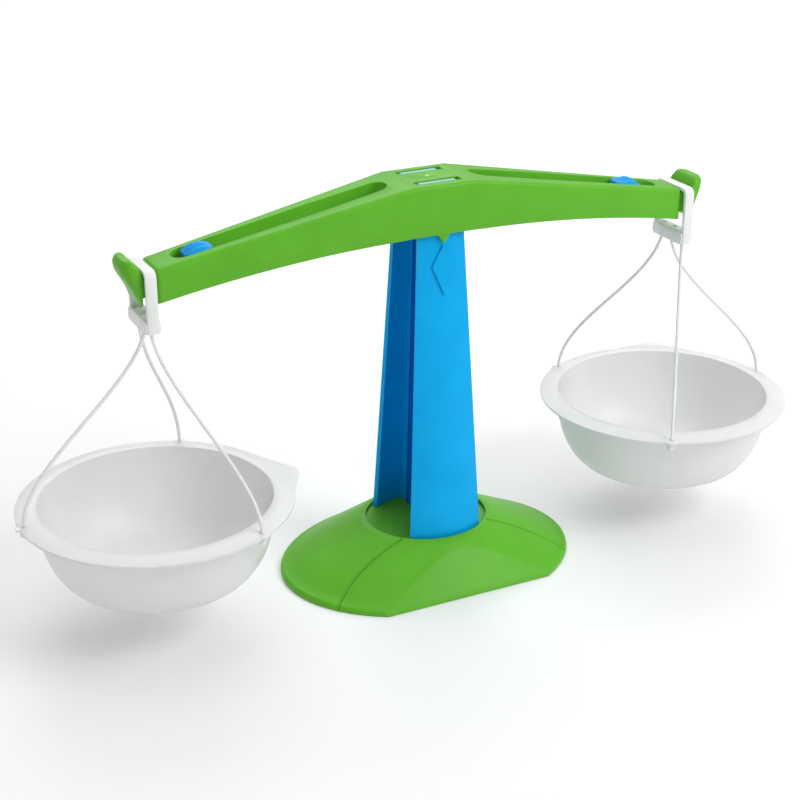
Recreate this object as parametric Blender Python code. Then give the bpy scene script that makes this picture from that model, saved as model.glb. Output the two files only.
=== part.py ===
"""Classroom pan balance: a tilting beam on a tapered column, with two hanging bowls.

Metres, +Z up. X runs along the beam, -Y is the front with the pointer, and the origin is
on the table, under the middle of the column. The balance is modelled level, at rest.
"""

import bpy
import bmesh
from math import atan2, cos, pi, radians, sin, sqrt, tan
from mathutils import Matrix, Vector

# Shared clearances and helpers
FIT_GAP = 0.0003            # between pieces that touch
RUNNING_GAP = 0.0006        # between pieces that move past each other
OVERRUN = 0.004             # how far a cutter runs past what it cuts
EMBED = 0.0008              # how far a boss is sunk into the wall that carries it
TILT_LIMIT = radians(8.5)   # beam, each way from level
SWING_LIMIT = radians(7.5)  # bowl under its hanger, each way
WELD = 0.000004             # points nearer than this are one point
OFF_AXIS = 0.31             # round shapes are turned by this share of one side

# Base: an oval dome cut off by a steep front face, open underneath
BASE_HALF_LENGTH = 0.0975
BASE_HALF_DEPTH = 0.0758
BASE_RIM_BOTTOM = 0.0004
BASE_RIM_HEIGHT = 0.0012    # straight part of the rim
BASE_SHOULDER = 0.0027      # rounded shoulder above the straight rim
BASE_WALL = 0.0030
BASE_FRONT = 0.0620         # front face where it meets the table
BASE_FRONT_LEAN = 0.0182    # how far the front face leans back by the top
SEAT_HEIGHT = 0.0310        # top of the collar round the column
SEAT_RECESS = 0.0025
SEAT_HALF_LENGTH = 0.0395
SEAT_HALF_DEPTH = 0.0368
COLLAR_LAND = 0.0014
COLLAR_SLOPE = 0.0030
COLLAR_RISE = 0.0016
BASE_SIDES = 56

# Rubber feet
FOOT_RADIUS = 0.0060
FOOT_THICKNESS = 0.0030
FOOT_PEG_RADIUS = 0.0021
FOOT_PEG_LENGTH = 0.0050
FOOT_BOSS_WALL = 0.0022
FOOT_SIDE_INSET = 0.0455    # from the base's sides, front and back in to the feet
FOOT_FRONT_INSET = 0.0378
FOOT_REAR_INSET = 0.0318

# Column: two curved plates joined by a web, tapering upwards
COLUMN_FOOT_HALF_WIDTH = 0.0249
COLUMN_FOOT_HALF_DEPTH = 0.0268     # at the plates' side edges
COLUMN_FOOT_BULGE = 0.0074
COLUMN_TOP_HALF_WIDTH = 0.0148
COLUMN_TOP_HALF_DEPTH = 0.0166
COLUMN_TOP_BULGE = 0.0012
COLUMN_TOP_BELOW_PIVOT = 0.0060
COLUMN_PLATE = 0.0030
COLUMN_WEB = 0.0050
HEAD_HALF_WIDTH = 0.0147
HEAD_DEPTH_BELOW_TOP = 0.0140
TENON_HALF_WIDTH = 0.0022
TENON_HALF_DEPTH = 0.0200
TENON_BOTTOM = 0.0100
SOCKET_WALL = 0.0028
DIAMOND_BELOW_TOP = 0.0217    # from the column's top to the diamond's top corner
DIAMOND_HEIGHT = 0.0310
DIAMOND_CORNER_DROP = 0.0125    # from its top corner to its side corners
DIAMOND_HALF_WIDTH = 0.0075
DIAMOND_RAISE = 0.0013

# Screws from below into the column's tenon
SCREW_RADIUS = 0.0011
SCREW_LENGTH = 0.0150
SCREW_HEAD_RADIUS = 0.0024
SCREW_HEAD_HEIGHT = 0.0016
SCREW_SPACING = 0.0260
SCREW_DRIVE = 0.0012        # radius of the hexagonal recess in the head
SCREW_DRIVE_DEPTH = 0.0009

# Pivot: a steel pin in the beam turns in two bearing blocks on the column
PIVOT_HEIGHT = 0.2462
PIN_RADIUS = 0.0016
PIN_BOSS_RADIUS = 0.0042
PIN_BOSS_LENGTH = 0.0032
PIN_CHAMFER = 0.0004
PIN_SNAP_SHARE = 0.88       # mouth of the snap-in bosses, as a share of the pin's width
BEARING_SPACING = 0.0244
BEARING_THICKNESS = 0.0042
BEARING_LENGTH = 0.0265
BEARING_ABOVE_PIVOT = 0.0092
BEARING_CHAMFER = 0.0015
BEARING_SEAT_DEPTH = 0.0030

# Beam: a hollow moulding, open underneath
BEAM_END = 0.1764           # from the middle to the beam's end wall
BEAM_FLAT_HALF_LENGTH = 0.0210
BEAM_ABOVE_PIVOT = 0.0098
BEAM_MIDDLE_DEPTH = 0.0305
BEAM_ARM_DROP = 0.0284      # how far an arm's top falls to its end
BEAM_END_DEPTH = 0.0201
BEAM_MIDDLE_HALF_WIDTH = 0.0218
BEAM_END_HALF_WIDTH = 0.0130
BEAM_WALL = 0.0024
BEAM_EDGE_RADIUS = 0.0028
BEAM_CORNER_RADIUS = 0.0030
WINDOW_LENGTH = 0.0300
WINDOW_WIDTH = 0.0061
STOP_RIB = 0.0020
STOP_RIB_LIFT = 0.0030      # above the beam's bottom edge
POINTER_HALF_WIDTH = 0.0042
POINTER_DROP = 0.0056
POINTER_DEPTH = 0.0020

# Slots in the beam's arms
SLOT_INNER_END = 0.0282
SLOT_WIDEST = 0.0750        # place of the widest part, from the middle
SLOT_OUTER_END = 0.1652
SLOT_INNER_HALF_WIDTH = 0.0080    # at the round inner end
SLOT_WIDEST_HALF_WIDTH = 0.0092
SLOT_HALF_WIDTH = 0.0079    # at the round outer end
SLOT_RIM = 0.0018
SLOT_RIM_DEPTH = 0.0090

# Neck and flared stop plate at each end of the beam
NECK_BELOW_TOP = 0.0022      # neck's upper side below the arm's end
NECK_CROWN = 0.0008         # how far the neck's ridge stands above its ends
NECK_HEIGHT = 0.0139
NECK_HALF_WIDTH = 0.0112
FLARE_LIFT = 0.0005         # its bottom above the beam's bottom
FLARE_UPRIGHT = 0.0170      # its upright part, below the lip
FLARE_LIP = 0.0090
FLARE_CORNER = 0.0046       # rounding of its upper corners
FLARE_THICKNESS_BOTTOM = 0.0014
FLARE_REACH = 0.0108        # from the flare's inner face to its lip
FLARE_HALF_WIDTH = 0.0124
FLARE_EDGE_SHARE = 0.55     # reach at the sides, as a share of the reach in the middle
# The flare's outline, each point as shares of its reach, its upright part and its lip
FLARE_SHARES = ((0.0, 0.0, 0.0), (0.0, 1.0, 0.0), (0.26, 1.0, 0.75), (0.62, 1.0, 1.0),
                (0.92, 1.0, 0.82), (1.0, 1.0, 0.48), (0.86, 0.92, 0.0), (0.46, 0.48, 0.0))

# Sliders for setting the balance to zero
SLIDER_LENGTH = 0.0170
SLIDER_HEIGHT = 0.0030      # dome above the arm's top face
SLIDER_EDGE_HEIGHT = 0.0002
SLIDER_RIBS = 4
SLIDER_RIB_DEPTH = 0.0007
SLIDER_STEM_LENGTH = 0.0100
SLIDER_STEM_HALF_WIDTH = 0.0040
SLIDER_HOOK = 0.0008
SLIDER_CORNER = 0.0030
# Sections along a slider, each with its place and its inset as shares of length and corner
SLIDER_RING_SHARES = ((0.0, 1.0), (0.1, 0.33), (0.25, 0.0), (0.4, 0.0), (0.6, 0.0),
                      (0.75, 0.0), (0.9, 0.33), (1.0, 1.0))
KEEPER_LENGTH = 0.0205
KEEPER_HALF_WIDTH = 0.0109
KEEPER_THICKNESS = 0.0018
LEFT_SLIDER_PLACE = 0.1495  # from the middle of the beam
RIGHT_SLIDER_PLACE = 0.1435

# Hangers: stirrups over the beam's necks
HANGER_WIDTH = 0.0064
HANGER_ROOM = 0.0008        # on each side of the hanger, so that it can swing
HANGER_STRAP = 0.0023
HANGER_HALF_DEPTH = 0.0166
HANGER_CORNER = 0.0042
HANGER_BAR_WIDTH = 0.0088
HANGER_HEIGHT = 0.0367
HANGER_BAR_HEIGHT = 0.0072
HANGER_EDGE = 0.0006
STRAND_ROOT_SPACING = 0.0114

# Strands: stiff moulded rods from the hanger's bar to the bowl's ears
STRAND_RADIUS = 0.0011
STRAND_BALL_RADIUS = 0.0024
STRAND_BALL_DEPTH = 0.0022  # its middle below the bar's upper side
STRAND_KNOB_RADIUS = 0.0025
STRAND_EAR_INSET = 0.0030   # from the bowl's edge in to the ear's hole
STRAND_STRAIGHT = 0.0025    # straight part below the hanger's bar
STRAND_POINTS = 30
# Slope of a strand's curve at its two ends, as shares of its mean slope
STRAND_START_SHARE = 0.35
STRAND_END_SHARE = 0.10

# Bowls
BOWL_RADIUS = 0.0825
BOWL_RIM_HEIGHT = 0.0812
BOWL_FLANGE_WIDTH = 0.0130
BOWL_FLANGE = 0.0020
BOWL_FLANGE_RISE = 0.0020   # how far the flange slopes up towards the wall
BOWL_DEPTH = 0.0497
BOWL_FLOOR_RADIUS = 0.0450
BOWL_WALL = 0.0016
BOWL_SIDES = 56
EAR_RADIUS = 0.0050
EAR_TRIM = 0.0002           # how much thinner the ears are than the rim, on each side
SPOUT_REACH = 0.0092        # pouring lip beyond the rim, midway between two ears
SPOUT_HALF_WIDTH = 0.0300   # where it leaves the rim
SPOUT_TIP_HALF_WIDTH = 0.0020
SPOUT_TURNS = {-1: 0.0, 1: pi / 3}    # direction of the left and the right bowl's lip

# Places that follow from the sizes above
FOOT_SPREAD = BASE_HALF_LENGTH - FOOT_SIDE_INSET
FOOT_FRONT = BASE_HALF_DEPTH - FOOT_FRONT_INSET
FOOT_REAR = BASE_HALF_DEPTH - FOOT_REAR_INSET
COLUMN_TOP = PIVOT_HEIGHT - COLUMN_TOP_BELOW_PIVOT
DIAMOND_TOP = COLUMN_TOP - DIAMOND_BELOW_TOP
DIAMOND_CORNER = DIAMOND_TOP - DIAMOND_CORNER_DROP
BEARING_TOP = PIVOT_HEIGHT + BEARING_ABOVE_PIVOT
BEAM_MIDDLE_TOP = PIVOT_HEIGHT + BEAM_ABOVE_PIVOT
BEAM_MIDDLE_BOTTOM = BEAM_MIDDLE_TOP - BEAM_MIDDLE_DEPTH
BEAM_END_TOP = BEAM_MIDDLE_TOP - BEAM_ARM_DROP
BEAM_END_BOTTOM = BEAM_END_TOP - BEAM_END_DEPTH
STOP_RIB_BOTTOM = BEAM_MIDDLE_BOTTOM + STOP_RIB_LIFT
NECK_TOP = BEAM_END_TOP - NECK_BELOW_TOP
NECK_BOTTOM = NECK_TOP - NECK_HEIGHT
FLARE_BOTTOM = BEAM_END_BOTTOM + FLARE_LIFT
FLARE_LEAN_START = FLARE_BOTTOM + FLARE_UPRIGHT
FLARE_TOP = FLARE_LEAN_START + FLARE_LIP
HANGER_PLACE = BEAM_END + HANGER_ROOM + HANGER_WIDTH / 2
FLARE_INNER = BEAM_END + HANGER_WIDTH + 2 * HANGER_ROOM
HANGER_TOP = NECK_TOP + FIT_GAP + HANGER_STRAP
HANGER_BOTTOM = HANGER_TOP - HANGER_HEIGHT
HANGER_BAR_TOP = HANGER_BOTTOM + HANGER_BAR_HEIGHT
STRAND_BALL_HEIGHT = HANGER_BAR_TOP - STRAND_BALL_DEPTH
STRAND_EAR_RADIUS = BOWL_RADIUS - STRAND_EAR_INSET
ARM_RUN = BEAM_END - BEAM_FLAT_HALF_LENGTH
ARM_SLOPE = atan2(BEAM_MIDDLE_TOP - BEAM_END_TOP, ARM_RUN)
SEAT_FLOOR = SEAT_HEIGHT - SEAT_RECESS
COLUMN_FOOT = SEAT_FLOOR + FIT_GAP
DOME_START_LENGTH = SEAT_HALF_LENGTH + COLLAR_LAND + COLLAR_SLOPE
DOME_START_DEPTH = SEAT_HALF_DEPTH + COLLAR_LAND + COLLAR_SLOPE
DOME_START_HEIGHT = SEAT_HEIGHT - COLLAR_RISE
SHOULDER_BOTTOM = BASE_RIM_BOTTOM + BASE_RIM_HEIGHT
SHOULDER_TOP = SHOULDER_BOTTOM + BASE_SHOULDER
FOOT_TOP = FOOT_THICKNESS + FIT_GAP
EAR_UNDERSIDE = BOWL_RIM_HEIGHT - BOWL_FLANGE
BOWL_BOTTOM = BOWL_RIM_HEIGHT - BOWL_DEPTH


def clear_scene():
    """Remove whatever the file opened with."""
    for obj in list(bpy.data.objects):
        bpy.data.objects.remove(obj, do_unlink=True)


def material(name, colour, roughness, metallic=0.0):
    """Make a plain Principled material."""
    made = bpy.data.materials.new(name)
    made.use_nodes = True
    shader = made.node_tree.nodes["Principled BSDF"]
    shader.inputs["Base Color"].default_value = (*colour, 1.0)
    shader.inputs["Roughness"].default_value = roughness
    shader.inputs["Metallic"].default_value = metallic
    made.diffuse_color = (*colour, 1.0)
    return made


def mix(low, high, share):
    """Value that lies the given share of the way from low to high."""
    return low + (high - low) * share


def add_object(name, shape, finish=None):
    """Turn a bmesh into an object whose faces point outwards."""
    bmesh.ops.recalc_face_normals(shape, faces=shape.faces)
    mesh = bpy.data.meshes.new(name)
    shape.to_mesh(mesh)
    shape.free()
    obj = bpy.data.objects.new(name, mesh)
    bpy.context.scene.collection.objects.link(obj)
    if finish:
        mesh.materials.append(finish)
    return obj


def loft(rings):
    """Skin equal rings of points and close both ends."""
    shape = bmesh.new()
    loops = [[shape.verts.new(point) for point in ring] for ring in rings]
    for lower, upper in zip(loops, loops[1:]):
        for i in range(len(lower)):
            j = (i + 1) % len(lower)
            shape.faces.new((lower[i], lower[j], upper[j], upper[i]))
    shape.faces.new(loops[0][::-1])
    shape.faces.new(loops[-1])
    return shape


def prism(outline, low, high, axis):
    """Extrude a two-axis outline from low to high along the remaining axis."""
    def ring(level):
        if axis == "X":
            return [(level, a, b) for a, b in outline]
        if axis == "Y":
            return [(a, level, b) for a, b in outline]
        return [(a, b, level) for a, b in outline]
    return loft([ring(low), ring(high)])


def block(low, high):
    """Box between two corners."""
    outline = [(low[0], low[1]), (high[0], low[1]), (high[0], high[1]), (low[0], high[1])]
    return prism(outline, low[2], high[2], "Z")


def circle(radius, sides, middle=(0.0, 0.0)):
    """Points round a circle, turned a little so that no cut runs through a point."""
    turns = [2 * pi * (i + OFF_AXIS) / sides for i in range(sides)]
    return [(middle[0] + radius * cos(t), middle[1] + radius * sin(t)) for t in turns]


def ellipse(half_length, half_depth, height, sides):
    """Level ring of points round an ellipse."""
    turns = [2 * pi * i / sides for i in range(sides)]
    return [(half_length * cos(t), half_depth * sin(t), height) for t in turns]


def rod(middle, radius, low, high, axis, sides=24):
    """Round bar along an axis; middle is its place on the other two axes."""
    return prism(circle(radius, sides, middle), low, high, axis)


def turned(profile, sides):
    """Spin an outline of (radius, height) points into a closed solid of revolution."""
    shape = bmesh.new()
    columns = []
    for i in range(sides):
        turn = 2 * pi * (i + OFF_AXIS) / sides
        columns.append([shape.verts.new((r * cos(turn), r * sin(turn), z))
                        for r, z in profile if r > 0])
    poles = {k: shape.verts.new((0, 0, z)) for k, (r, z) in enumerate(profile) if r <= 0}
    places = {}
    for k, (r, z) in enumerate(profile):
        if r > 0:
            places[k] = len(places)
    for i in range(sides):
        here, there = columns[i], columns[(i + 1) % sides]
        for k in range(len(profile)):
            n = (k + 1) % len(profile)
            if k in poles and n in poles:
                continue
            if k in poles:
                shape.faces.new((poles[k], here[places[n]], there[places[n]]))
            elif n in poles:
                shape.faces.new((here[places[k]], poles[n], there[places[k]]))
            else:
                shape.faces.new((here[places[k]], here[places[n]],
                                 there[places[n]], there[places[k]]))
    return shape


def ball(middle, radius, sides=16, rings=8):
    """Closed ball."""
    profile = [(radius * sin(pi * k / rings), -radius * cos(pi * k / rings))
               for k in range(rings + 1)]
    profile[0] = (0.0, -radius)
    profile[-1] = (0.0, radius)
    shape = turned(profile, sides)
    bmesh.ops.translate(shape, verts=shape.verts, vec=Vector(middle))
    return shape


def weld(mesh):
    """Merge points that a cut left on top of each other."""
    shape = bmesh.new()
    shape.from_mesh(mesh)
    bmesh.ops.remove_doubles(shape, verts=shape.verts, dist=WELD)
    bmesh.ops.dissolve_degenerate(shape, edges=shape.edges, dist=WELD)
    shape.to_mesh(mesh)
    shape.free()


def combine(target, shapes, operation):
    """Join shapes to the target, or cut them from it, one after the other."""
    for shape in shapes:
        tool = add_object(target.name + "_tool", shape)
        step = target.modifiers.new("step", "BOOLEAN")
        step.solver = "EXACT"
        step.operation = operation
        step.object = tool
        bpy.context.view_layer.update()
        ready = target.evaluated_get(bpy.context.evaluated_depsgraph_get())
        result = bpy.data.meshes.new_from_object(ready)
        target.modifiers.remove(step)
        target.data = result
        bpy.data.objects.remove(tool, do_unlink=True)
        weld(result)


def take_shape(obj):
    """Take an object's shape as a bmesh and remove the object."""
    shape = bmesh.new()
    shape.from_mesh(obj.data)
    bpy.data.objects.remove(obj, do_unlink=True)
    return shape


def finish_shading(obj):
    """Shade smooth, but keep the real edges sharp."""
    obj.data.shade_smooth()
    obj.data.set_sharp_from_angle(angle=radians(35))


def axis_empty(name, place, parent=None):
    """Empty on a joint's axis, which the joint's pieces are parented to."""
    empty = bpy.data.objects.new(name, None)
    bpy.context.scene.collection.objects.link(empty)
    empty.location = Vector(place) - (Vector(parent["place"]) if parent else Vector())
    empty["place"] = tuple(place)
    empty.parent = parent
    return empty


def hang_on(obj, empty):
    """Give a piece its joint's axis as its origin and parent it there."""
    obj.data.transform(Matrix.Translation(-Vector(empty["place"])))
    obj.parent = empty
    finish_shading(obj)


# Base

def base_ring(inset, height):
    """Ring of the base's outline, drawn in evenly."""
    return ellipse(BASE_HALF_LENGTH - inset, BASE_HALF_DEPTH - inset, height, BASE_SIDES)


def dome_rings(wall):
    """Rings from the rim up over the dome, moved inwards by a wall."""
    bottom = BASE_RIM_BOTTOM - (OVERRUN if wall else 0)
    rings = [base_ring(wall, bottom), base_ring(wall, SHOULDER_BOTTOM - wall)]
    for turn in (pi / 6, pi / 3, pi / 2):
        inset = BASE_SHOULDER * (1 - cos(turn))
        rings.append(base_ring(wall + inset, SHOULDER_BOTTOM + BASE_SHOULDER * sin(turn) - wall))
    shoulder_length = BASE_HALF_LENGTH - BASE_SHOULDER - wall
    shoulder_depth = BASE_HALF_DEPTH - BASE_SHOULDER - wall
    steps = 4
    for k in range(1, steps + 1):
        share = 1 - k / steps
        drop = (DOME_START_HEIGHT - SHOULDER_TOP) * share
        rings.append(ellipse(mix(DOME_START_LENGTH, shoulder_length, share),
                             mix(DOME_START_DEPTH, shoulder_depth, share),
                             DOME_START_HEIGHT - drop - wall, BASE_SIDES))
    return rings


def front_cutter(wall):
    """Wedge in front of the base's leaning front face, moved back by a wall."""
    lean = BASE_FRONT_LEAN / DOME_START_HEIGHT
    foot = -BASE_FRONT + wall
    low, high = -OVERRUN, SEAT_HEIGHT + OVERRUN
    far = -BASE_HALF_DEPTH - OVERRUN
    outline = [(far, low), (foot + low * lean, low), (foot + high * lean, high), (far, high)]
    reach = BASE_HALF_LENGTH + OVERRUN
    return prism(outline, -reach, reach, "X")


def foot_places():
    """Name and place of each rubber foot."""
    return [("front_left", -FOOT_SPREAD, -FOOT_FRONT), ("front_right", FOOT_SPREAD, -FOOT_FRONT),
            ("rear_left", -FOOT_SPREAD, FOOT_REAR), ("rear_right", FOOT_SPREAD, FOOT_REAR)]


def build_base(green):
    """Dome shell with the column's seat and socket, and bosses for the feet."""
    base = add_object("base", loft(dome_rings(0.0)), green)
    collar = [ellipse(DOME_START_LENGTH, DOME_START_DEPTH, DOME_START_HEIGHT - BASE_WALL / 2,
                      BASE_SIDES),
              ellipse(DOME_START_LENGTH, DOME_START_DEPTH, DOME_START_HEIGHT, BASE_SIDES),
              ellipse(SEAT_HALF_LENGTH + COLLAR_LAND, SEAT_HALF_DEPTH + COLLAR_LAND,
                      SEAT_HEIGHT, BASE_SIDES)]
    combine(base, [front_cutter(0.0)], "DIFFERENCE")
    hollow = add_object("hollow", loft(dome_rings(BASE_WALL)))
    combine(hollow, [front_cutter(BASE_WALL)], "DIFFERENCE")
    combine(base, [take_shape(hollow)], "DIFFERENCE")
    combine(base, [loft(collar)], "UNION")

    socket_width = TENON_HALF_WIDTH + FIT_GAP
    socket_depth = TENON_HALF_DEPTH + FIT_GAP
    floor = TENON_BOTTOM - FIT_GAP
    under_seat = SEAT_FLOOR - BASE_WALL
    seat_plate = loft([
        ellipse(DOME_START_LENGTH, DOME_START_DEPTH, under_seat, BASE_SIDES),
        ellipse(DOME_START_LENGTH, DOME_START_DEPTH, SEAT_FLOOR + EMBED, BASE_SIDES)])
    socket = block((-socket_width - SOCKET_WALL, -socket_depth - SOCKET_WALL, floor - SOCKET_WALL),
                   (socket_width + SOCKET_WALL, socket_depth + SOCKET_WALL, SEAT_FLOOR - EMBED))
    bosses = [foot_boss(x, y) for _, x, y in foot_places()]
    combine(base, [seat_plate, socket, *bosses], "UNION")

    recess = loft([ellipse(SEAT_HALF_LENGTH, SEAT_HALF_DEPTH, SEAT_FLOOR, BASE_SIDES),
                   ellipse(SEAT_HALF_LENGTH, SEAT_HALF_DEPTH, SEAT_HEIGHT + OVERRUN, BASE_SIDES)])
    pocket = block((-socket_width, -socket_depth, floor),
                   (socket_width, socket_depth, SEAT_HEIGHT + OVERRUN))
    screw_holes = [rod((0.0, y), SCREW_RADIUS + FIT_GAP, floor - SOCKET_WALL - OVERRUN,
                       floor + OVERRUN, "Z", 16) for y in screw_places()]
    peg_holes = [rod((x, y), FOOT_PEG_RADIUS + FIT_GAP, BASE_RIM_BOTTOM,
                     FOOT_TOP + FOOT_PEG_LENGTH + FIT_GAP, "Z", 16) for _, x, y in foot_places()]
    combine(base, [recess, pocket, *screw_holes, *peg_holes], "DIFFERENCE")
    finish_shading(base)


def foot_boss(x, y):
    """Round boss for a foot's peg, which ends inside the dome's wall."""
    boss = add_object("boss", rod((x, y), FOOT_PEG_RADIUS + FOOT_BOSS_WALL, FOOT_TOP,
                                  SEAT_HEIGHT, "Z"))
    combine(boss, [loft(dome_rings(BASE_WALL / 2))], "INTERSECT")
    return take_shape(boss)


def build_feet(rubber):
    """Four round rubber feet with a peg each."""
    for name, x, y in foot_places():
        foot = add_object("foot_" + name, rod((x, y), FOOT_RADIUS, 0.0, FOOT_THICKNESS, "Z"), rubber)
        peg = rod((x, y), FOOT_PEG_RADIUS, FOOT_THICKNESS - EMBED,
                  FOOT_TOP + FOOT_PEG_LENGTH - FIT_GAP, "Z", 16)
        combine(foot, [peg], "UNION")
        finish_shading(foot)


# Column

def column_share(height):
    """How far up the column a height lies, from 0 at its foot to 1 at its top."""
    return (height - COLUMN_FOOT) / (COLUMN_TOP - COLUMN_FOOT)


def column_half_width(height):
    return mix(COLUMN_FOOT_HALF_WIDTH, COLUMN_TOP_HALF_WIDTH, column_share(height))


def column_face(x, height):
    """Distance of a plate's outer face from the middle plane."""
    share = column_share(height)
    edge = mix(COLUMN_FOOT_HALF_DEPTH, COLUMN_TOP_HALF_DEPTH, share)
    bulge = mix(COLUMN_FOOT_BULGE, COLUMN_TOP_BULGE, share)
    return edge + bulge * (1 - (x / column_half_width(height)) ** 2)


def column_section(height):
    """Outline of the column at a height: two curved plates and the web between them."""
    half = column_half_width(height)
    web = COLUMN_WEB / 2
    arc_shares = (-1, -3 / 4, -1 / 2, -1 / 4, 0, 1 / 4, 1 / 2, 3 / 4, 1)
    inner_shares = (1, 2 / 3, 1 / 3)
    points = [(half * s, -column_face(half * s, height)) for s in arc_shares]
    inner = [(mix(web, half, s), column_face(mix(web, half, s), height) - COLUMN_PLATE)
             for s in inner_shares]
    inner.append((web, column_face(web, height) - COLUMN_PLATE))
    points += [(x, -y) for x, y in inner]
    points += [(x, y) for x, y in reversed(inner)]
    points += [(-half * s, column_face(half * s, height)) for s in arc_shares]
    points += [(-x, y) for x, y in inner]
    points += [(-x, -y) for x, y in reversed(inner)]
    return [(x, y, height) for x, y in points]


def diamond():
    """Raised diamond on the front plate, under the pointer."""
    middle = DIAMOND_CORNER
    corners = [(0.0, DIAMOND_TOP), (-DIAMOND_HALF_WIDTH, middle),
               (0.0, DIAMOND_TOP - DIAMOND_HEIGHT), (DIAMOND_HALF_WIDTH, middle)]
    sunk = [(x, EMBED - column_face(x, z), z) for x, z in corners]
    raised = [(x, -DIAMOND_RAISE - column_face(x, z), z) for x, z in corners]
    shape = loft([sunk, raised])
    shape.verts.ensure_lookup_table()
    top, bottom = shape.verts[len(corners)], shape.verts[len(corners) + 2]
    bmesh.ops.connect_verts(shape, verts=[top, bottom])
    return shape


def build_column(blue):
    """Column with its head, which carries the bearings, and its tenon."""
    column = add_object("column", loft([column_section(COLUMN_FOOT), column_section(COLUMN_TOP)]), blue)
    head_bottom = COLUMN_TOP - HEAD_DEPTH_BELOW_TOP
    reach = column_face(HEAD_HALF_WIDTH, COLUMN_TOP) - COLUMN_PLATE / 2
    head = block((-HEAD_HALF_WIDTH, -reach, head_bottom),
                 (HEAD_HALF_WIDTH, reach, COLUMN_TOP - EMBED / 2))
    tenon = block((-TENON_HALF_WIDTH, -TENON_HALF_DEPTH, TENON_BOTTOM),
                  (TENON_HALF_WIDTH, TENON_HALF_DEPTH, COLUMN_FOOT + OVERRUN))
    combine(column, [head, tenon, diamond()], "UNION")
    seats = [block((-BEARING_LENGTH / 2 - FIT_GAP, y - BEARING_THICKNESS / 2 - FIT_GAP,
                    COLUMN_TOP - BEARING_SEAT_DEPTH),
                   (BEARING_LENGTH / 2 + FIT_GAP, y + BEARING_THICKNESS / 2 + FIT_GAP,
                    COLUMN_TOP + OVERRUN)) for y in bearing_places()]
    pilots = [rod((0.0, y), SCREW_RADIUS + FIT_GAP, TENON_BOTTOM - OVERRUN, screw_tip() + FIT_GAP,
                  "Z", 16) for y in screw_places()]
    combine(column, [*seats, *pilots], "DIFFERENCE")
    finish_shading(column)


def screw_places():
    return (-SCREW_SPACING / 2, SCREW_SPACING / 2)


def screw_tip():
    return TENON_BOTTOM - FIT_GAP - SOCKET_WALL - FIT_GAP + SCREW_LENGTH


def build_screws(steel):
    """Two screws that hold the column down from below."""
    head_top = TENON_BOTTOM - FIT_GAP - SOCKET_WALL - FIT_GAP
    for name, y in zip(("column_screw_front", "column_screw_rear"), screw_places()):
        screw = add_object(name, rod((0.0, y), SCREW_HEAD_RADIUS, head_top - SCREW_HEAD_HEIGHT,
                                     head_top, "Z"), steel)
        shank = rod((0.0, y), SCREW_RADIUS, head_top - EMBED, screw_tip(), "Z", 16)
        drive = rod((0.0, y), SCREW_DRIVE, head_top - SCREW_HEAD_HEIGHT - OVERRUN,
                    head_top - SCREW_HEAD_HEIGHT + SCREW_DRIVE_DEPTH, "Z", 6)
        combine(screw, [shank], "UNION")
        combine(screw, [drive], "DIFFERENCE")
        finish_shading(screw)


def bearing_places():
    return (-BEARING_SPACING / 2, BEARING_SPACING / 2)


def build_bearings(pale):
    """Two blocks in the column's head, bored for the pivot pin."""
    for name, y in zip(("bearing_front", "bearing_rear"), bearing_places()):
        half = BEARING_LENGTH / 2
        bottom = COLUMN_TOP - BEARING_SEAT_DEPTH + FIT_GAP
        outline = [(-half, bottom), (half, bottom), (half, BEARING_TOP - BEARING_CHAMFER),
                   (half - BEARING_CHAMFER, BEARING_TOP), (BEARING_CHAMFER - half, BEARING_TOP),
                   (-half, BEARING_TOP - BEARING_CHAMFER)]
        low, high = y - BEARING_THICKNESS / 2, y + BEARING_THICKNESS / 2
        bearing = add_object(name, prism(outline, low, high, "Y"), pale)
        bore = rod((0.0, PIVOT_HEIGHT), PIN_RADIUS + FIT_GAP, low - OVERRUN, high + OVERRUN, "Y")
        combine(bearing, [bore], "DIFFERENCE")
        finish_shading(bearing)


# Beam

def beam_top(x):
    """Height of the beam's top face."""
    run = max(0.0, abs(x) - BEAM_FLAT_HALF_LENGTH)
    return BEAM_MIDDLE_TOP - run * tan(ARM_SLOPE)


def beam_bottom(x):
    """Height of the beam's arched lower edge."""
    return BEAM_MIDDLE_BOTTOM - (BEAM_MIDDLE_BOTTOM - BEAM_END_BOTTOM) * (x / BEAM_END) ** 2


def beam_half_width(x):
    """Half the beam's width, which tapers from the flat middle to the ends."""
    share = max(0.0, abs(x) - BEAM_FLAT_HALF_LENGTH) / ARM_RUN
    return mix(BEAM_MIDDLE_HALF_WIDTH, BEAM_END_HALF_WIDTH, share)


def beam_stations(end, corner):
    """Places along the beam for its sections, closer at the rounded end corners."""
    outer = [(end - corner * (1 - sin(turn)), corner * (1 - cos(turn)))
             for turn in (pi / 2, pi / 4, 0.0)]
    steps = 6
    run = end - corner - BEAM_FLAT_HALF_LENGTH
    inner = [(BEAM_FLAT_HALF_LENGTH + run * (1 - k / steps), 0.0) for k in range(1, steps + 1)]
    right = outer + inner
    return [(-x, inset) for x, inset in right] + [(0.0, 0.0)] + [(x, i) for x, i in reversed(right)]


def beam_outside():
    """Closed outside form of the beam between its end walls."""
    rings = []
    radius = BEAM_EDGE_RADIUS
    for x, inset in beam_stations(BEAM_END, BEAM_CORNER_RADIUS):
        half, top, bottom = beam_half_width(x) - inset, beam_top(x), beam_bottom(x)
        right = [(half - radius * (1 - cos(t)), top - radius * (1 - sin(t)))
                 for t in (0.0, pi / 6, pi / 3, pi / 2)]
        points = [(half, bottom)] + right + [(-y, z) for y, z in reversed(right)] + [(-half, bottom)]
        rings.append([(x, y, z) for y, z in points])
    return loft(rings)


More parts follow.
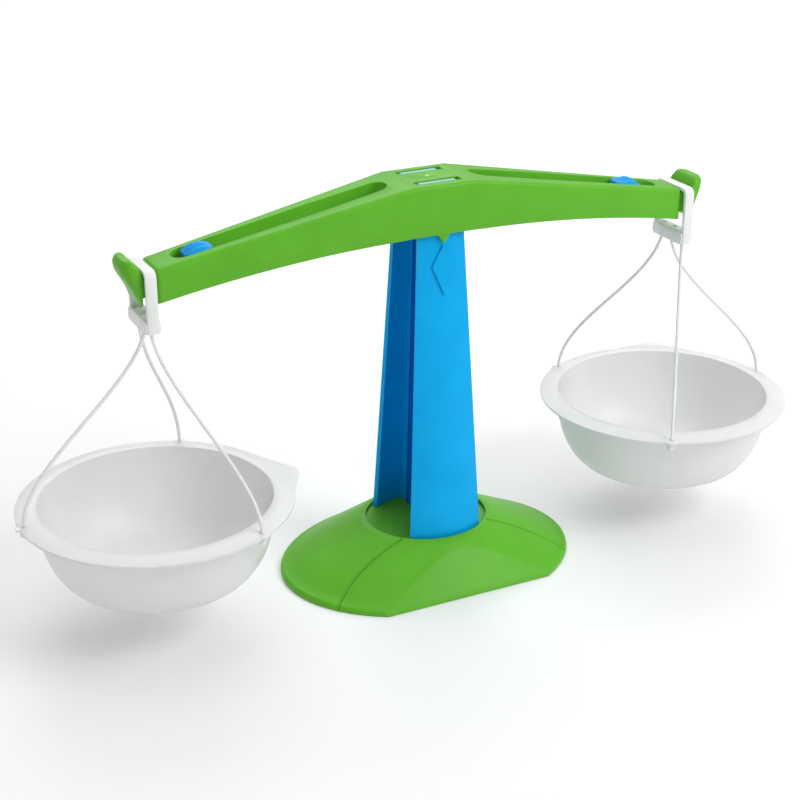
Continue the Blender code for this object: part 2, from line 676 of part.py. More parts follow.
def beam_inside():
    """Hollow under the beam's top wall and between its side walls."""
    rings = []
    for x, _ in beam_stations(BEAM_END - BEAM_WALL, BEAM_CORNER_RADIUS):
        half, top = beam_half_width(x) - BEAM_WALL, beam_top(x) - BEAM_WALL
        bottom = beam_bottom(x) - OVERRUN
        points = [(half, bottom), (half, top), (-half, top), (-half, bottom)]
        rings.append([(x, y, z) for y, z in points])
    return loft(rings)


def slot_outline(grow):
    """Outline of the right arm's slot seen square to the arm, grown all round."""
    steps = 8
    points = []
    for middle, half, start in (
            (SLOT_OUTER_END - SLOT_HALF_WIDTH, SLOT_HALF_WIDTH + grow, -pi / 2),
            (SLOT_INNER_END + SLOT_INNER_HALF_WIDTH, SLOT_INNER_HALF_WIDTH + grow, pi / 2)):
        for k in range(steps + 1):
            turn = start + pi * k / steps
            points.append((middle + half * cos(turn), half * sin(turn)))
        points.append((SLOT_WIDEST, (SLOT_WIDEST_HALF_WIDTH + grow) * sin(start + pi)))
    return points


def arm_frame(side):
    """Matrix from an arm's own axes to the balance's.

    There x runs outwards along the top face, measured so that it equals the distance from
    the middle at the beam's flat, and z is square to that face.
    """
    run_start = Vector((BEAM_FLAT_HALF_LENGTH, 0, BEAM_MIDDLE_TOP))
    down_arm = (Matrix.Translation(run_start) @ Matrix.Rotation(ARM_SLOPE, 4, "Y")
                @ Matrix.Translation((-BEAM_FLAT_HALF_LENGTH, 0, 0)))
    if side < 0:
        return Matrix.Rotation(pi, 4, "Z") @ down_arm
    return down_arm


def on_arm(shape, side):
    """Place a shape that was made in an arm's own axes."""
    bmesh.ops.transform(shape, matrix=arm_frame(side), verts=shape.verts)
    return shape


def flare_section(y):
    """Side outline of the flared stop plate at a place across the beam."""
    across = abs(y) / FLARE_HALF_WIDTH
    fullness = mix(1.0, FLARE_EDGE_SHARE, across ** 4)
    into_corner = max(0.0, abs(y) - FLARE_HALF_WIDTH + FLARE_CORNER) / FLARE_CORNER
    rise = FLARE_TOP - FLARE_LEAN_START - FLARE_CORNER * (1 - sqrt(1 - into_corner ** 2))
    points = []
    for out, up, lip in FLARE_SHARES:
        height = mix(FLARE_BOTTOM, FLARE_LEAN_START, up) + lip * rise
        points.append((FLARE_INNER + out * FLARE_REACH * fullness, height))
    points.append((FLARE_INNER + FLARE_THICKNESS_BOTTOM * fullness, FLARE_BOTTOM))
    return [(x, y, z) for x, z in points]


def flare():
    """Stop plate that keeps a hanger on the right-hand neck."""
    across_shares = (-0.99, -0.92, -0.8, -0.63, -0.3, 0, 0.3, 0.63, 0.8, 0.92, 0.99)
    return loft([flare_section(FLARE_HALF_WIDTH * s) for s in across_shares])


def neck():
    """Right-hand neck, with the ridge that the hanger rocks on."""
    low, high = BEAM_END - BEAM_WALL / 2, FLARE_INNER + EMBED / 2
    shoulder = NECK_TOP - NECK_CROWN
    outline = [(low, NECK_BOTTOM), (high, NECK_BOTTOM), (high, shoulder),
               (HANGER_PLACE, NECK_TOP), (low, shoulder)]
    return prism(outline, -NECK_HALF_WIDTH, NECK_HALF_WIDTH, "Y")


def mirrored(shape):
    """Turn a right-hand shape half a turn about the column's axis."""
    bmesh.ops.rotate(shape, cent=(0, 0, 0), matrix=Matrix.Rotation(pi, 3, "Z"), verts=shape.verts)
    return shape


def stop_rib_place():
    """Inner face of the rib that meets the column at the tilt limit."""
    drop = PIVOT_HEIGHT - STOP_RIB_BOTTOM
    meets = column_half_width(STOP_RIB_BOTTOM) + FIT_GAP
    return (meets + drop * sin(TILT_LIMIT)) / cos(TILT_LIMIT)


def build_beam(green, pivot):
    """Hollow beam with slots, necks, flared ends, pivot bosses, windows and pointer."""
    beam = add_object("beam", beam_outside(), green)
    combine(beam, [beam_inside()], "DIFFERENCE")

    depth = SLOT_RIM_DEPTH
    below_top = -BEAM_WALL + EMBED
    rims = [on_arm(prism(slot_outline(SLOT_RIM), -depth, below_top, "Z"), side) for side in (-1, 1)]
    inner_face = BEAM_MIDDLE_HALF_WIDTH - BEAM_WALL
    bosses = [rod((0.0, PIVOT_HEIGHT), PIN_BOSS_RADIUS, *sorted((s * (inner_face - PIN_BOSS_LENGTH),
              s * (inner_face + EMBED))), "Y") for s in (-1, 1)]
    rib = stop_rib_place()
    ribs = []
    for side in (-1, 1):
        low, high = sorted((side * rib, side * (rib + STOP_RIB)))
        half = beam_half_width(rib) - BEAM_WALL + EMBED
        ribs.append(block((low, -half, STOP_RIB_BOTTOM),
                          (high, half, beam_top(rib + STOP_RIB) - BEAM_WALL + EMBED)))
    front = -BEAM_MIDDLE_HALF_WIDTH
    base_line = BEAM_MIDDLE_BOTTOM + POINTER_HALF_WIDTH
    tip = BEAM_MIDDLE_BOTTOM - POINTER_DROP
    pointer = prism([(-POINTER_HALF_WIDTH, BEAM_MIDDLE_BOTTOM), (0.0, tip),
                     (POINTER_HALF_WIDTH, BEAM_MIDDLE_BOTTOM), (POINTER_HALF_WIDTH, base_line),
                     (-POINTER_HALF_WIDTH, base_line)],
                    front - FIT_GAP, front - FIT_GAP + POINTER_DEPTH, "Y")
    ends = [neck(), mirrored(neck()), flare(), mirrored(flare())]
    combine(beam, [*rims, *ends, *bosses, *ribs, pointer], "UNION")

    slots = [on_arm(prism(slot_outline(0.0), -depth - OVERRUN, OVERRUN, "Z"), side)
             for side in (-1, 1)]
    windows = [block((-WINDOW_LENGTH / 2, y - WINDOW_WIDTH / 2, BEAM_MIDDLE_TOP - BEAM_WALL - OVERRUN),
                     (WINDOW_LENGTH / 2, y + WINDOW_WIDTH / 2, BEAM_MIDDLE_TOP + OVERRUN))
               for y in bearing_places()]
    hole_end = inner_face + EMBED / 2
    pin_hole = rod((0.0, PIVOT_HEIGHT), PIN_RADIUS + FIT_GAP, -hole_end, hole_end, "Y")
    mouth = PIN_RADIUS * PIN_SNAP_SHARE
    snap_mouth = block((-mouth, -inner_face + FIT_GAP, PIVOT_HEIGHT - PIN_BOSS_RADIUS - OVERRUN),
                       (mouth, inner_face - FIT_GAP, PIVOT_HEIGHT - PIN_RADIUS / 2))
    combine(beam, [*slots, *windows, pin_hole, snap_mouth], "DIFFERENCE")
    hang_on(beam, pivot)


def build_pin(steel, pivot):
    """Steel pin across the beam's hollow."""
    half = BEAM_MIDDLE_HALF_WIDTH - BEAM_WALL - FIT_GAP
    rings = []
    for y, radius in ((-half, PIN_RADIUS - PIN_CHAMFER), (PIN_CHAMFER - half, PIN_RADIUS),
                      (half - PIN_CHAMFER, PIN_RADIUS), (half, PIN_RADIUS - PIN_CHAMFER)):
        rings.append([(x, y, z) for x, z in circle(radius, 24, (0.0, PIVOT_HEIGHT))])
    hang_on(add_object("pivot_pin", loft(rings), steel), pivot)


# Sliders

def slider_body(place):
    """Domed and ribbed slider block in an arm's own axes."""
    half_width = SLOT_HALF_WIDTH - RUNNING_GAP
    half_length = SLIDER_LENGTH / 2
    floor = -SLOT_RIM_DEPTH
    rings = []
    for share, inset_share in SLIDER_RING_SHARES:
        inset = SLIDER_CORNER * inset_share
        x = place - half_length + SLIDER_LENGTH * share
        crown = SLIDER_HEIGHT * sin(pi * share) + SLIDER_EDGE_HEIGHT
        half = half_width - inset
        top = []
        for k in range(4 * SLIDER_RIBS + 1):
            across = -1 + k / (2 * SLIDER_RIBS)
            groove = SLIDER_RIB_DEPTH * (1 - cos(2 * pi * SLIDER_RIBS * (across + 1) / 2)) / 2
            dome = SLIDER_EDGE_HEIGHT + (crown - SLIDER_EDGE_HEIGHT) * (1 - across ** 2)
            height = dome - SLIDER_RIB_DEPTH + groove * min(1.0, crown / SLIDER_HEIGHT)
            top.append((x, half * across, height))
        rings.append([(x, half, floor)] + top[::-1] + [(x, -half, floor)])
    return loft(rings)


def build_slider(name, place, side, blue, pivot):
    """Slider in an arm's slot, and the keeper plate under the slot's rim."""
    slider = add_object(name, on_arm(slider_body(place), side), blue)
    keeper_top = -SLOT_RIM_DEPTH - FIT_GAP
    keeper_bottom = keeper_top - KEEPER_THICKNESS
    stem_low = -SLOT_RIM_DEPTH - SLIDER_STEM_LENGTH / 2
    half = SLIDER_STEM_HALF_WIDTH
    stem = on_arm(block((place - half, -half, stem_low),
                        (place + half, half, -SLOT_RIM_DEPTH + EMBED)), side)
    hook = on_arm(block((place - half - SLIDER_HOOK, -half, keeper_bottom - FIT_GAP - 2 * SLIDER_HOOK),
                        (place + half + SLIDER_HOOK, half, keeper_bottom - FIT_GAP)), side)
    combine(slider, [stem, hook], "UNION")
    reach = KEEPER_HALF_WIDTH
    keeper = add_object(name + "_keeper", on_arm(block(
        (place - KEEPER_LENGTH / 2, -reach, keeper_bottom),
        (place + KEEPER_LENGTH / 2, reach, keeper_top)), side), blue)
    opening = on_arm(block((place - half - FIT_GAP, -half - FIT_GAP, keeper_bottom - OVERRUN),
                           (place + half + FIT_GAP, half + FIT_GAP, keeper_top + OVERRUN)), side)
    combine(keeper, [opening], "DIFFERENCE")
    middle = arm_frame(side) @ Vector((place, 0, 0))
    axis = axis_empty(name + "_axis", middle, pivot)
    hang_on(slider, axis)
    hang_on(keeper, axis)


# Hangers

def rounded_frame(half, low, high, top_corner, low_corner):
    """Outline across the beam with rounded corners, anticlockwise from the lower right."""
    corners = ((half, low, low_corner, -pi / 2), (half, high, top_corner, 0.0),
               (-half, high, top_corner, pi / 2), (-half, low, low_corner, pi))
    points = []
    for y, z, radius, start in corners:
        mid_y = y - radius if y > 0 else y + radius
        mid_z = z + radius if z == low else z - radius
        for k in range(4):
            turn = start + pi / 2 * k / 3
            points.append((mid_y + radius * cos(turn), mid_z + radius * sin(turn)))
    return points


def build_hanger(name, x, white, axis):
    """Stirrup over the neck, with a bar that holds the strands' ball ends."""
    inner_half = HANGER_HALF_DEPTH - HANGER_STRAP
    low_corner = HANGER_STRAP
    outside = rounded_frame(HANGER_HALF_DEPTH, HANGER_BOTTOM, HANGER_TOP, HANGER_CORNER, low_corner)
    hanger = add_object(name, prism(outside, x - HANGER_WIDTH / 2, x + HANGER_WIDTH / 2, "X"), white)
    inner_corner = HANGER_CORNER - HANGER_STRAP
    inside = rounded_frame(inner_half, HANGER_BAR_TOP, HANGER_TOP - HANGER_STRAP, inner_corner,
                           HANGER_EDGE)
    combine(hanger, [prism(inside, x - HANGER_BAR_WIDTH, x + HANGER_BAR_WIDTH, "X")], "DIFFERENCE")
    bar_outline = rounded_frame(HANGER_HALF_DEPTH - HANGER_EDGE, HANGER_BOTTOM - HANGER_EDGE / 2,
                                HANGER_BAR_TOP + HANGER_EDGE / 2, low_corner, low_corner)
    bar = prism(bar_outline, x - HANGER_BAR_WIDTH / 2, x + HANGER_BAR_WIDTH / 2, "X")
    combine(hanger, [bar], "UNION")

    slot_drop = STRAND_BALL_HEIGHT - HANGER_BOTTOM + HANGER_EDGE
    half_slot = STRAND_RADIUS / cos(SWING_LIMIT) + slot_drop * tan(SWING_LIMIT) + FIT_GAP
    half_slot = min(half_slot, STRAND_BALL_RADIUS - FIT_GAP / 3)
    half_across = STRAND_RADIUS + FIT_GAP
    cups = []
    for y in (-STRAND_ROOT_SPACING, 0.0, STRAND_ROOT_SPACING):
        cups.append(rod((x, y), STRAND_BALL_RADIUS + FIT_GAP,
                        STRAND_BALL_HEIGHT - STRAND_BALL_RADIUS - FIT_GAP,
                        HANGER_BAR_TOP + FIT_GAP, "Z", 20))
        cups.append(block((x - half_slot, y - half_across, HANGER_BOTTOM - OVERRUN),
                          (x + half_slot, y + half_across, STRAND_BALL_HEIGHT)))
    combine(hanger, cups, "DIFFERENCE")
    hang_on(hanger, axis)


def strands(side):
    """Name, direction of the ear and place on the bar of a pan's three strands."""
    outward = 0.0 if side > 0 else pi
    rear = outward + side * 2 * pi / 3
    return (("outer", outward, 0.0), ("rear", rear, STRAND_ROOT_SPACING),
            ("front", -rear, -STRAND_ROOT_SPACING))


def strand_route(x, root, angle):
    """Middle line of a strand: down from the bar, out in an S, and down through the ear."""
    start = Vector((x, root, STRAND_BALL_HEIGHT))
    end = Vector((x + STRAND_EAR_RADIUS * cos(angle), STRAND_EAR_RADIUS * sin(angle),
                  EAR_UNDERSIDE - FIT_GAP - STRAND_KNOB_RADIUS))
    curve_top, curve_bottom = HANGER_BOTTOM - STRAND_STRAIGHT, BOWL_RIM_HEIGHT + BOWL_FLANGE
    points = []
    for k in range(STRAND_POINTS):
        height = mix(start.z, end.z, k / (STRAND_POINTS - 1))
        share = (curve_top - height) / (curve_top - curve_bottom)
        share = min(1.0, max(0.0, share))
        rest = 1 - share
        out = share * share * (3 - 2 * share)
        out += STRAND_START_SHARE * share * rest * rest - STRAND_END_SHARE * share * share * rest
        points.append((mix(start.x, end.x, out), mix(start.y, end.y, out), height))
    return points


def build_strand(name, x, root, angle, white, axis):
    """One strand with its ball and its knob."""
    route = strand_route(x, root, angle)
    curve = bpy.data.curves.new(name + "_line", "CURVE")
    curve.dimensions = "3D"
    curve.bevel_depth = STRAND_RADIUS
    curve.bevel_resolution = 2
    curve.use_fill_caps = True
    line = curve.splines.new("POLY")
    line.points.add(len(route) - 1)
    for point, place in zip(line.points, route):
        point.co = (*place, 1.0)
    tube = bpy.data.objects.new(name + "_tube", curve)
    bpy.context.scene.collection.objects.link(tube)
    bpy.context.view_layer.update()
    ready = tube.evaluated_get(bpy.context.evaluated_depsgraph_get())
    shape = bmesh.new()
    shape.from_mesh(ready.to_mesh())
    bpy.data.objects.remove(tube, do_unlink=True)
    bmesh.ops.remove_doubles(shape, verts=shape.verts, dist=STRAND_RADIUS / 100)
    strand = add_object(name, shape, white)
    combine(strand, [ball(route[0], STRAND_BALL_RADIUS), ball(route[-1], STRAND_KNOB_RADIUS)], "UNION")
    hang_on(strand, axis)


def bowl_outline():
    """Half section of a bowl, outside from the rim down and back up inside."""
    wall_radius = BOWL_RADIUS - BOWL_FLANGE_WIDTH
    steps = 7
    outside, inside = [], []
    wall_top = BOWL_RIM_HEIGHT + BOWL_FLANGE_RISE
    under_wall_top = wall_top - BOWL_FLANGE
    for k in range(steps + 1):
        turn = pi / 2 * k / steps
        outside.append((mix(BOWL_FLOOR_RADIUS, wall_radius + BOWL_WALL, cos(turn)),
                        mix(under_wall_top, BOWL_BOTTOM, sin(turn))))
        inside.append((mix(BOWL_FLOOR_RADIUS, wall_radius, cos(turn)),
                       mix(wall_top, BOWL_BOTTOM + BOWL_WALL, sin(turn))))
    edge = BOWL_FLANGE / 4
    rim = [(BOWL_RADIUS - edge, BOWL_RIM_HEIGHT), (BOWL_RADIUS, BOWL_RIM_HEIGHT - edge),
           (BOWL_RADIUS, EAR_UNDERSIDE + edge), (BOWL_RADIUS - edge, EAR_UNDERSIDE)]
    return rim + outside + [(0.0, BOWL_BOTTOM), (0.0, BOWL_BOTTOM + BOWL_WALL)] + inside[::-1]


def spout_outline(x, side):
    """Outline of the pouring lip, whose sides run into the rim."""
    root = BOWL_RADIUS - BOWL_FLANGE_WIDTH / 2
    tip = BOWL_RADIUS + SPOUT_REACH
    half, tip_half = SPOUT_HALF_WIDTH, SPOUT_TIP_HALF_WIDTH
    near_side = [(root, -half), (tip - tip_half, -tip_half), (tip, -tip_half / 3)]
    outline = near_side + [(r, -y) for r, y in reversed(near_side)]
    along, across = cos(SPOUT_TURNS[side]), sin(SPOUT_TURNS[side])
    return [(x + r * along - y * across, r * across + y * along) for r, y in outline]


def build_bowl(name, x, side, milky, axis):
    """Bowl with a wide flat rim, three ears and a pouring lip."""
    shape = turned(bowl_outline(), BOWL_SIDES)
    bmesh.ops.translate(shape, verts=shape.verts, vec=(x, 0, 0))
    bowl = add_object(name, shape, milky)
    places = [(x + STRAND_EAR_RADIUS * cos(turn), STRAND_EAR_RADIUS * sin(turn))
              for _, turn, _ in strands(side)]
    low, high = EAR_UNDERSIDE + EAR_TRIM, BOWL_RIM_HEIGHT - EAR_TRIM
    tabs = [rod(place, EAR_RADIUS, low, high, "Z") for place in places]
    spout = prism(spout_outline(x, side), low, high, "Z")
    combine(bowl, [*tabs, spout], "UNION")
    holes = [rod(place, STRAND_RADIUS + FIT_GAP, EAR_UNDERSIDE - OVERRUN,
                 BOWL_RIM_HEIGHT + OVERRUN, "Z", 16) for place in places]
    combine(bowl, holes, "DIFFERENCE")
    hang_on(bowl, axis)


def build_pan(side_name, side, white, milky, beam_axis):
    """Hanger, three strands and bowl under one end of the beam."""
    x = side * HANGER_PLACE
    neck_axis = axis_empty(side_name + "_hanger_axis", (x, 0, NECK_TOP), beam_axis)
    build_hanger(side_name + "_hanger", x, white, neck_axis)
    swing = axis_empty(side_name + "_pan_axis", (x, 0, STRAND_BALL_HEIGHT), neck_axis)
    for ear, turn, root in strands(side):
        build_strand(side_name + "_strand_" + ear, x, root, turn, white, swing)
    build_bowl(side_name + "_bowl", x, side, milky, swing)


def main():
    clear_scene()
    green = material("green_plastic", (0.13, 0.43, 0.04), 0.38)
    beam_green = material("beam_green_plastic", (0.13, 0.43, 0.04), 0.36)
    column_blue = material("column_blue_plastic", (0.0, 0.36, 0.80), 0.35)
    slider_blue = material("slider_blue_plastic", (0.01, 0.33, 0.87), 0.35)
    white = material("white_nylon", (0.82, 0.83, 0.82), 0.40)
    milky = material("milky_plastic", (0.80, 0.83, 0.82), 0.30)
    pale = material("pale_acetal", (0.62, 0.80, 0.76), 0.35)
    steel = material("steel", (0.55, 0.56, 0.58), 0.30, 1.0)
    rubber = material("grey_rubber", (0.06, 0.06, 0.06), 0.80)

    build_base(green)
    build_feet(rubber)
    build_column(column_blue)
    build_screws(steel)
    build_bearings(pale)

    beam_axis = axis_empty("beam_axis", (0, 0, PIVOT_HEIGHT))
    build_beam(beam_green, beam_axis)
    build_pin(steel, beam_axis)
    build_slider("left_slider", LEFT_SLIDER_PLACE, -1, slider_blue, beam_axis)
    build_slider("right_slider", RIGHT_SLIDER_PLACE, 1, slider_blue, beam_axis)
    build_pan("left", -1, white, milky, beam_axis)
    build_pan("right", 1, white, milky, beam_axis)


main()
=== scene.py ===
"""Looks of the classroom pan balance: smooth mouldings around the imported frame, in metres.

X runs along the beam, -Y is the front with the pointer, and the table is at zero height.
"""

from math import atan2, cos, pi, radians, sin, sqrt

import bmesh
import bpy
from mathutils import Matrix, Vector


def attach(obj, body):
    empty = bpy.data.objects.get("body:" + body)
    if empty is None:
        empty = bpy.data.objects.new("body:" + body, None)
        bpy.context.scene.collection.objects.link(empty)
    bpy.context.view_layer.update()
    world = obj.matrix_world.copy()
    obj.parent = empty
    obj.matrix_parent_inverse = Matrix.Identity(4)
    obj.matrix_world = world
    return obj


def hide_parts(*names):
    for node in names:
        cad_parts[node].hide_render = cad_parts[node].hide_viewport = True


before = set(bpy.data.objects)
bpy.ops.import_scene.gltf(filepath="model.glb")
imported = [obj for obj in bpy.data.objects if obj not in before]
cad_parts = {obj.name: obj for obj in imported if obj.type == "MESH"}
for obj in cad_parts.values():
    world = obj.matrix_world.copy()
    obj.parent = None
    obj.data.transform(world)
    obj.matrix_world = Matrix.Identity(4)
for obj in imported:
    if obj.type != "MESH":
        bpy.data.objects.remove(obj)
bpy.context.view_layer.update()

OVERRUN = 0.004             # how far a cutting shape runs past what it cuts
NEAR = 0.0001               # two places this close count as one when edges are picked
APART = 0.001               # and an edge this long runs along an axis
# These widths are asked for, but slivers left by the cuts hold the real ones below 0.05 mm. On the
# column and the bowls they came out as faces without area, so those pieces aren't softened.
EDGE_ROUNDING = 0.0005      # of the base and the beam
FINE_ROUNDING = 0.0004      # of the stirrups
SPIN_WELD = 0.000002        # points this close are merged after a spin,
BAR_WELD = 0.00001          # along a drawn bar
MIRROR_WELD = 0.00002       # and where the two arms meet
ROD_SIDES = 48
SMALL_ROD_SIDES = 24

# Base
BASE_HALF_LENGTH = 0.0975
BASE_HALF_DEPTH = 0.0758
BASE_BOTTOM = 0.0004
BASE_SIDES = 160
BASE_RIM_TOP = 0.0016
BASE_SHOULDER = 0.0027
SHOULDER_STEPS = 6
DOME_STEPS = 10
BASE_WALL = 0.0030
BASE_FRONT = 0.0620
BASE_FRONT_LEAN = 0.0182
DOME_TOP = 0.0294
DOME_TOP_HALF_LENGTH = 0.0439
DOME_TOP_HALF_DEPTH = 0.0412
SEAT_TOP = 0.0310
SEAT_FLOOR = 0.0285
SEAT_HALF_LENGTH = 0.0395
SEAT_HALF_DEPTH = 0.0368
SEAT_LAND = 0.0014
FOOT_PLACES = ((-0.052, -0.038), (0.052, -0.038), (-0.052, 0.044), (0.052, 0.044))
FOOT_BOSS_RADIUS = 0.0043
FOOT_BOSS_BOTTOM = 0.0033
PEG_HOLE_RADIUS = 0.0024
PEG_HOLE_TOP = 0.0086
SOCKET_HALF_WIDTH = 0.0025
SOCKET_HALF_DEPTH = 0.0203
SOCKET_WALL = 0.0028
SOCKET_FLOOR = 0.0097
SCREW_SPACING = 0.0260
SCREW_HOLE_RADIUS = 0.0014
CREASE_START = 0.0300       # distance of the creases' inner ends from the middle, along the beam
CREASE_RUN = 0.0520         # length along the beam
CREASE_PLACE = 0.0262       # distance of the inner ends in front of the middle
CREASE_BEND = 0.0155        # how far the outer ends curve to the front
CREASE_HALF_WIDTH = 0.0009
CREASE_DEPTH = 0.0007
CREASE_POINTS = 60

# Column
COLUMN_FOOT = 0.0288
COLUMN_TOP = 0.2402
FOOT_HALF_WIDTH = 0.0249
TOP_HALF_WIDTH = 0.0148
FOOT_HALF_DEPTH = 0.0268
TOP_HALF_DEPTH = 0.0166
FOOT_BULGE = 0.0074
TOP_BULGE = 0.0012
COLUMN_PLATE = 0.0030
COLUMN_WEB = 0.0050
HEAD_BOTTOM = 0.2262
HEAD_HALF_WIDTH = 0.0147
BEARING_HALF_LENGTH = 0.01325
BEARING_HALF_THICKNESS = 0.0021
BEARING_PLACE = 0.0122
BEARING_SEAT = 0.2372
FIT_GAP = 0.0003
TONGUE_HALF_WIDTH = 0.0022
TONGUE_HALF_DEPTH = 0.0200
TONGUE_BOTTOM = 0.0100
SCREW_TIP = 0.0219
DIAMOND_MIDDLE = 0.2060
DIAMOND_TOP = 0.2185
DIAMOND_BOTTOM = 0.1875
DIAMOND_HALF_WIDTH = 0.0075
DIAMOND_RAISE = 0.0013
DIAMOND_SUNK = 0.0008

# Beam
BEAM_END = 0.1764
BEAM_FLAT = 0.0210
BEAM_MIDDLE_TOP = 0.2560
BEAM_END_TOP = 0.2276
BEAM_MIDDLE_BOTTOM = 0.2255
BEAM_END_BOTTOM = 0.2075
BEAM_MIDDLE_HALF_WIDTH = 0.0218
BEAM_END_HALF_WIDTH = 0.0130
BEAM_WALL = 0.0024
BEAM_EDGE = 0.0028
ARM_STEPS = 24
ARM_SLOPE = atan2(BEAM_MIDDLE_TOP - BEAM_END_TOP, BEAM_END - BEAM_FLAT)
WINDOW_HALF_LENGTH = 0.0150
WINDOW_HALF_WIDTH = 0.00305
SLOT_INNER_END = 0.0282
SLOT_WIDEST = 0.0750
SLOT_OUTER_END = 0.1652
SLOT_INNER_HALF_WIDTH = 0.0080
SLOT_WIDEST_HALF_WIDTH = 0.0092
SLOT_HALF_WIDTH = 0.0079
SLOT_RIM = 0.0018
SLOT_DEPTH = 0.0090
SLOT_SIDES = 64
PIVOT_HEIGHT = 0.2462
PIN_HOLE_RADIUS = 0.0019
PIN_BOSS_RADIUS = 0.0042
PIN_BOSS_LENGTH = 0.0032
POINTER_HALF_WIDTH = 0.0042
POINTER_DROP = 0.0056
POINTER_SPREAD_SHARE = 1.6  # width where it is buried in the beam, of the width at the beam's edge
POINTER_BURIED_SHARE = 0.6  # height that is buried, of the drop
POINTER_INSET = 0.0002
POINTER_BACK = 0.0020
GATE_RADIUS = 0.0013
GATE_DEPTH = 0.0003
NECK_TOP = 0.2254
NECK_BOTTOM = 0.2115
NECK_CROWN = 0.0008
NECK_HALF_WIDTH = 0.0112
NECK_EMBED = 0.0005
NECK_ROUNDING = 0.0012
FLARE_INNER = 0.1844
FLARE_BOTTOM = 0.2080
FLARE_LEAN_START = 0.2250
FLARE_TOP = 0.2340
FLARE_REACH = 0.0108
FLARE_HALF_WIDTH = 0.0124
FLARE_STEPS = 16
FLARE_CORNER = 0.0046
FLARE_ROUNDING = 0.0006
FLARE_SIDE_SHARE = 0.55     # how far the sides still reach outwards
FLARE_SHARES = (            # side outline: out along the beam, up the plate, up the lip
    (0, 0, 0), (0, 1, 0), (0.10, 1, 0.42), (0.26, 1, 0.75), (0.44, 1, 0.93), (0.62, 1, 1),
    (0.80, 1, 0.96), (0.92, 1, 0.82), (1, 1, 0.62), (1, 1, 0.42), (0.95, 0.98, 0.14),
    (0.84, 0.90, 0), (0.66, 0.70, 0), (0.46, 0.48, 0), (0.26, 0.20, 0), (0.13, 0, 0))

# Pans
HANGER_PLACE = 0.1804
HANGER_WIDTH = 0.0064
HANGER_TOP = 0.2280
HANGER_STRAP = 0.0023
HANGER_HALF_DEPTH = 0.0166
HANGER_CORNER = 0.0042
HANGER_BOTTOM = 0.1913
BAR_TOP = 0.1985
BAR_WIDTH = 0.0088
BAR_INSET = 0.0006          # how far the bar stays inside the strap's ends
ROOT_SPACING = 0.0114
BALL_HEIGHT = 0.1963
BALL_RADIUS = 0.0024
STRAND_RADIUS = 0.0011
KNOB_RADIUS = 0.0025
STRAND_STRAIGHT = 0.0025    # below the bar
STRAND_START_SHARE = 0.35   # slope where the curve starts, as a share of its mean slope
STRAND_END_SHARE = 0.10
STRAND_POINTS = 48
EAR_PLACE = 0.0795
EAR_RADIUS = 0.0050
BOWL_RADIUS = 0.0825
BOWL_RIM = 0.0812
BOWL_FLANGE = 0.0130
BOWL_FLANGE_THICKNESS = 0.0020
BOWL_FLANGE_RISE = 0.0020
BOWL_WALL = 0.0016
BOWL_BOTTOM = 0.0315
BOWL_FLOOR_RADIUS = 0.0450
BOWL_STEPS = 18
BOWL_SIDES = 128
RIM_ROUND = 0.0010          # where the wall turns into the rim
RIM_ROUND_SHOULDER = 0.0003
LIP_ROUND = 0.0007          # at the rim's upper outer edge
LIP_ROUND_SHOULDER = 0.0002
LIP_UNDER_ROUND = 0.0005
SPOUT_REACH = 0.0092
SPOUT_HALF_WIDTH = 0.0300
SPOUT_TIP_HALF_WIDTH = 0.0020
SPOUT_ROUNDING = 0.0012
SPOUT_TURNS = {-1: pi, 1: pi / 3}     # in the bowl's own axes, where an ear lies at zero

# Colours, and what they are multiplied by where a material changes them
GREEN = (0.115, 0.45, 0.018)
BLUE = (0.0, 0.40, 0.84)
SLIDER_BLUE = (0.005, 0.34, 0.84)
WHITE = (0.82, 0.83, 0.82)
PALE_BLUE = (0.32, 0.60, 0.66)
STEEL = (0.55, 0.56, 0.58)
RUBBER_GREY = (0.06, 0.06, 0.06)
MILKY = (0.955, 0.96, 0.955)
# painted shade: the creases' grooves are darkened, where shade falls in them
CREASE_PAINTED_SHADE_FACTORS = (0.72, 0.80, 0.70)
GATE_FACTORS = (5.0, 2.0, 12.0)
# painted shade: the recess between the column's plates is darkened to navy, where shade falls
RECESS_PAINTED_SHADE_FACTORS = (1.0, 0.30, 0.66)
RECESS_SHADE_START = -0.0004      # distance behind a plate's inner face where the recess's painted shade starts
RECESS_SHADE_FULL = 0.0006        # and where it is full
FLOW_SCALE = 38.0
FLOW_LOW_SHARE = 0.30
FLOW_HIGH_SHARE = 0.72
LIGHTER = 1.05
LIGHTER_STEP = 0.003
SMOOTHER = 0.05             # how far the flow marks change the roughness down
ROUGHER = 0.06              # and up
GRAIN_SCALE = 1400.0
GRAIN_DEPTH = 0.0003
MILKY_SCATTER = 0.01

# Surroundings
TABLE_SIZE = 14
TABLE_MIDDLE = 3            # behind the balance
TABLE_WHITE = (0.96, 0.96, 0.955, 1)
TABLE_ROUGHNESS = 0.55
STUDIO_STRENGTH = 0.50
LAMPS = (                   # name, place, size, power, place that it faces
    ("key", (0.9, -1.1, 1.3), 1.0, 16, (0, 0, 0.12)),
    ("top", (0.0, 0.2, 1.8), 1.6, 7, (0, 0, 0.12)),
    ("backdrop", (0.9, 2.0, 1.7), 2.2, 30, (0.9, 2.0, 0)))
CAMERA_PLACE = (-0.4542, -0.8704, 0.5375)
CAMERA_DOWN = 23.53         # degrees below the level
CAMERA_TURN = -26.59        # degrees from straight ahead
CAMERA_LENS = 76.5
CAMERA_SENSOR = 36


# Materials

